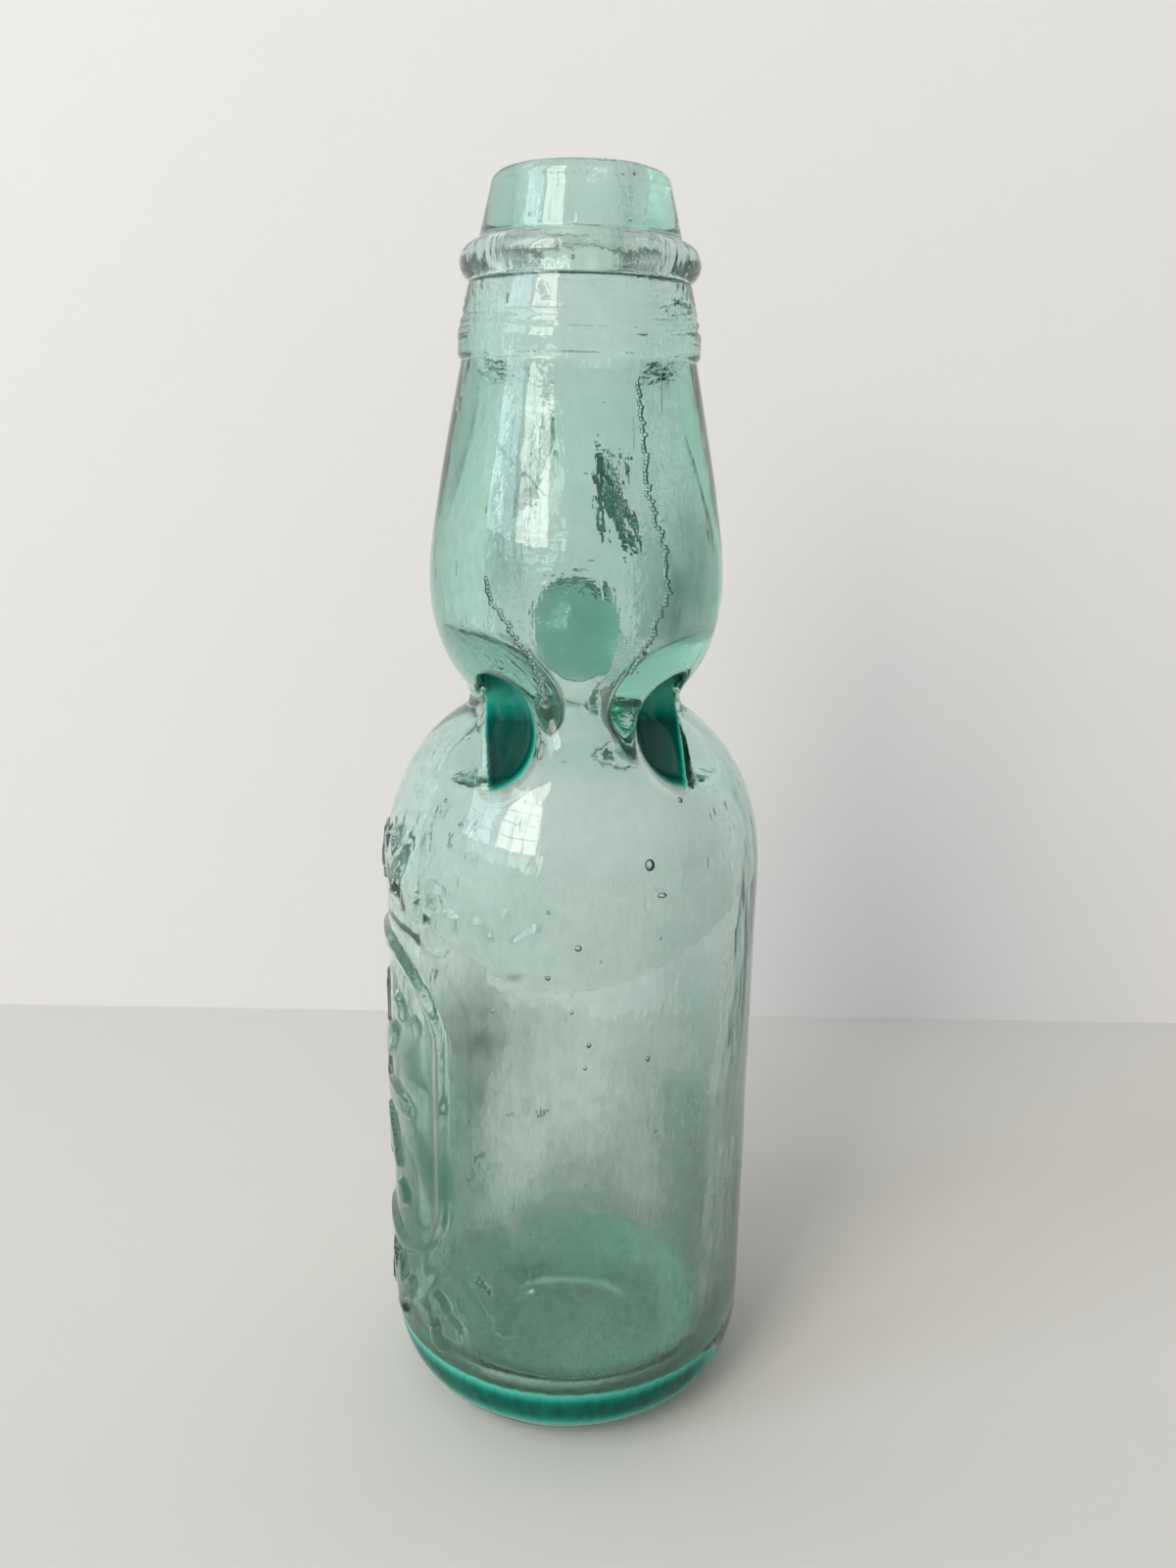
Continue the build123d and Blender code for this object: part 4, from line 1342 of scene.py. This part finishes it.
class SurfaceWork(bpy.types.PropertyGroup):
    """Heights and scales of the marks in the glass surface."""

    draw: number("Draw", "How far marks are drawn out along the height", 0.35)
    streak_scale: number("Streak Scale", "Streaks per metre", 520.0)
    streak_height: length("Streak Height", "Height of the inner streaks", 0.07 * MM)
    worked_gain: number("Worked Gain", "How much rougher the chamber is", 3.2)
    ripple_scale: number("Ripple Scale", "Ripples per metre", 260.0)
    ripple_height: length("Ripple Height", "Height of the ripples", 0.05 * MM)
    crinkle_scale: number("Crinkle Scale", "Crinkles per metre", 800.0)
    crinkle_height: length("Crinkle Height", "Height of the crinkles", 0.018 * MM)
    pit_scale: number("Pit Scale", "Pits per metre", 420.0)
    pit_depth: length("Pit Depth", "Depth of the pits", 0.06 * MM)
    patch_scale: number("Patch Scale", "Patches per metre", 60.0)
    haze: number("Haze", "Roughness where the inside is hazy", 0.05)
    chatter_scale: number("Chatter Scale", "Chatter marks per metre in the chamber", 700.0)
    chatter_height: length("Chatter Height", "Height of the chatter marks", 0.03 * MM)
    # Fringes in the painted shade of the dents
    fringe_scale: number("Fringe Scale", "Fringes per metre in the dents' dark floors", 900.0)
    film: number("Film", "Most of the surface that the pale film hides", 0.22)
    film_colour: colour("Film Colour", "Colour of the film on the inside", (0.84, 0.94, 0.88))
    # Strength of the painted highlight on the neck's left
    neck_painted_highlight: number("Neck Film", "How much more film there is on the neck's left", 0.5)
    low_film: number("Low Film", "How much more film there is low in the body", 0.4)
    low_colour: colour("Low Colour", "Colour of the film low in the body", (0.42, 0.52, 0.42))
    base_film: number("Base Film", "How much more film there is on the base", 0.45)
    base_colour: colour("Base Colour", "Colour of the film on the base", (0.34, 0.76, 0.58))
    # Strength of the painted light of the backdrop, and how fast its bowed lower edge rises
    # sideways
    bloom: number("Bloom", "How much the bloom above its shore line hides", 0.3)
    shore_bend: number("Shore Bend", "How fast the bloom's shore rises sideways, per metre", 19.0)
    # Strength and colour of the painted shade on the body's sides and the bulb's right
    side_shade_film: number("Panel Film", "How much more film there is behind the ornament", 0.9)
    side_shade_colour: colour("Panel Colour", "Colour of the film there", (0.04, 0.24, 0.18))
    smudge_scale: number("Smudge Scale", "Smudges per metre in the film", 45.0)
    grain_scale: number("Grain Scale", "Grains per metre in the film", 900.0)


class StudioSettings(bpy.types.PropertyGroup):
    """Colours of the stage and levels of its light."""

    floor_colour: colour("Floor", "Colour of the floor", (0.64, 0.62, 0.585))
    wall_colour: colour("Backdrop", "Colour of the backdrop", (0.74, 0.72, 0.715))
    wall_distance: length("Backdrop Distance", "From the axis to the backdrop", 130 * MM)
    near_light: number("Near Window", "Strength of the warm window", 8.0)
    far_light: number("Far Window", "Strength of the blue window", 5.0)
    room_light: number("Room", "Strength of the room's light", 0.57)


class BOTTLE_OT_glass(bpy.types.Operator):
    """Blow the bottle: one closed wall of glass with its ornament, dents and seeds"""

    bl_idname = "bottle.glass"
    bl_label = "Glass"

    def execute(self, context):
        settings = context.scene
        finish = settings.glass_finish
        material = glass_material(
            "aqua_glass", settings.surface_work, finish.density, finish.tint, finish.ior
        )
        piece = new_piece("glass_bottle", glass_mesh(settings.bottle_shape))
        run_group(piece, seed_group(), {"Glass": material})
        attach(piece, "glass")
        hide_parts("bottle")
        return {"FINISHED"}


class BOTTLE_OT_marble(bpy.types.Operator):
    """Drop the marble onto the ridges of the waist"""

    bl_idname = "bottle.marble"
    bl_label = "Marble"

    def execute(self, context):
        finish = context.scene.glass_finish
        material = glass_material(
            "marble_glass",
            context.scene.surface_work,
            finish.marble_density,
            finish.marble_tint,
            finish.ior,
        )
        piece = new_piece("glass_marble", bpy.data.meshes.new("glass_marble"))
        values = {"Radius": MARBLE_RADIUS, "Height": MARBLE_MIDDLE, "Glass": material}
        run_group(piece, marble_group(), values)
        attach(piece, "marble")
        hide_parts("marble")
        return {"FINISHED"}


class BOTTLE_OT_ring(bpy.types.Operator):
    """Seat the rubber ring in its groove"""

    bl_idname = "bottle.ring"
    bl_label = "Sealing Ring"

    def execute(self, context):
        material = rubber_material(context.scene.glass_finish)
        piece = new_piece("rubber_ring", bpy.data.meshes.new("rubber_ring"))
        values = {
            "Outer Radius": ring_high.x,
            "Bottom": ring_low.z,
            "Height": ring_high.z - ring_low.z,
            "Rubber": material,
        }
        run_group(piece, ring_group(), values)
        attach(piece, "glass")
        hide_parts("seal_ring")
        return {"FINISHED"}


def sheet_mesh(name, corners):
    mesh = bpy.data.meshes.new(name)
    mesh.from_pydata([tuple(c) for c in corners], [], [tuple(range(len(corners)))])
    return mesh


def window(name, turns, material):
    """A tall window of glowing panes, seen from the bottle between two angles."""
    centre = Vector((0, 0, BULB_MIDDLE))
    columns, bars = WINDOW_PANES
    (near, far), (low, high) = turns, WINDOW_RISE
    pane = 1 - 2 * GLAZING_BAR
    points, faces = [], []
    for i in range(columns):
        for j in range(bars):
            for u, v in ((0, 0), (1, 0), (1, 1), (0, 1)):
                turn = near + (far - near) * (i + GLAZING_BAR + u * pane) / columns
                rise = low + (high - low) * (j + GLAZING_BAR + v * pane) / bars
                away = Vector((-sin(turn), -cos(turn), tan(rise)))
                points.append(tuple(centre + away * WINDOW_DISTANCE))
            faces.append(tuple(range(len(points) - 4, len(points))))
    mesh = bpy.data.meshes.new(name)
    mesh.from_pydata(points, [], faces)
    mesh.materials.append(material)
    piece = new_piece(name, mesh)
    piece.visible_camera = False


class BOTTLE_OT_studio(bpy.types.Operator):
    """Set up the floor, the backdrop, the windows, the room's light and the camera"""

    bl_idname = "bottle.studio"
    bl_label = "Studio"

    def execute(self, context):
        studio = context.scene.studio
        wide, front, back = STAGE_HALF_WIDTH, STAGE_FRONT, studio.wall_distance
        floor = sheet_mesh(
            "floor", [(-wide, front, 0), (wide, front, 0), (wide, back, 0), (-wide, back, 0)]
        )
        floor.materials.append(plain_material("pale_floor", studio.floor_colour))
        wall = sheet_mesh(
            "backdrop",
            [(-wide, back, 0), (wide, back, 0), (wide, back, WALL_TOP), (-wide, back, WALL_TOP)],
        )
        wall.materials.append(plain_material("pale_wall", studio.wall_colour, True))
        new_piece("floor", floor)
        new_piece("backdrop", wall)
        warm = lamp_material("warm_pane", (1, 0.97, 0.9), studio.near_light)
        blue = lamp_material("blue_pane", (0.75, 0.88, 1), studio.far_light)
        window("near_window", NEAR_WINDOW, warm)
        window("far_window", FAR_WINDOW, blue)
        world = bpy.data.worlds.new("room")
        world.use_nodes = True
        context.scene.world = world
        sheet = Sheet(world.node_tree)
        direction = sheet.node("ShaderNodeTexCoord", out="Generated")
        across = sheet.node("ShaderNodeSeparateXYZ", {0: direction}, "X")
        level = across.ramp(1.0, -1.0) + DIM_SIDE
        glow = sheet.node(
            "ShaderNodeBackground",
            {"Color": (0.97, 0.98, 1, 1), "Strength": level * studio.room_light},
        )
        sheet.node("ShaderNodeOutputWorld", {"Surface": glow})
        camera = bpy.data.cameras.new("camera")
        camera.sensor_width, camera.lens = SENSOR_WIDTH, LENS
        camera.clip_start = 5 * MM
        eye = bpy.data.objects.new("camera", camera)
        context.scene.collection.objects.link(eye)
        tilt = Matrix.Rotation(CAMERA_TILT, 4, "X") @ Matrix.Rotation(CAMERA_ROLL, 4, "Z")
        eye.matrix_world = Matrix.Translation(CAMERA_PLACE) @ tilt
        context.scene.camera = eye
        context.scene.view_settings.view_transform = "Standard"
        return {"FINISHED"}


class BOTTLE_PT_panel(bpy.types.Panel):
    """Lists the steps that build the bottle"""

    bl_label = "Marble Stopper Bottle"
    bl_idname = "BOTTLE_PT_panel"
    bl_space_type = "VIEW_3D"
    bl_region_type = "UI"
    bl_category = "Bottle"

    def draw(self, context):
        for step in STEPS:
            self.layout.operator(step.bl_idname)
        for group in GROUPS:
            settings = getattr(context.scene, group)
            for name in GROUPS[group].__annotations__:
                self.layout.prop(settings, name)


STEPS = (BOTTLE_OT_studio, BOTTLE_OT_glass, BOTTLE_OT_marble, BOTTLE_OT_ring)
GROUPS = {
    "bottle_shape": BottleShape,
    "glass_finish": GlassFinish,
    "surface_work": SurfaceWork,
    "studio": StudioSettings,
}


def register():
    for cls in (*GROUPS.values(), *STEPS, BOTTLE_PT_panel):
        bpy.utils.register_class(cls)
    for name, cls in GROUPS.items():
        setattr(bpy.types.Scene, name, bpy.props.PointerProperty(type=cls))


def unregister():
    for name in GROUPS:
        delattr(bpy.types.Scene, name)
    for cls in (BOTTLE_PT_panel, *reversed(STEPS), *reversed(GROUPS.values())):
        bpy.utils.unregister_class(cls)


def main():
    register()
    bpy.ops.bottle.studio()
    bpy.ops.bottle.glass()
    bpy.ops.bottle.marble()
    bpy.ops.bottle.ring()


if __name__ == "__main__":
    main()
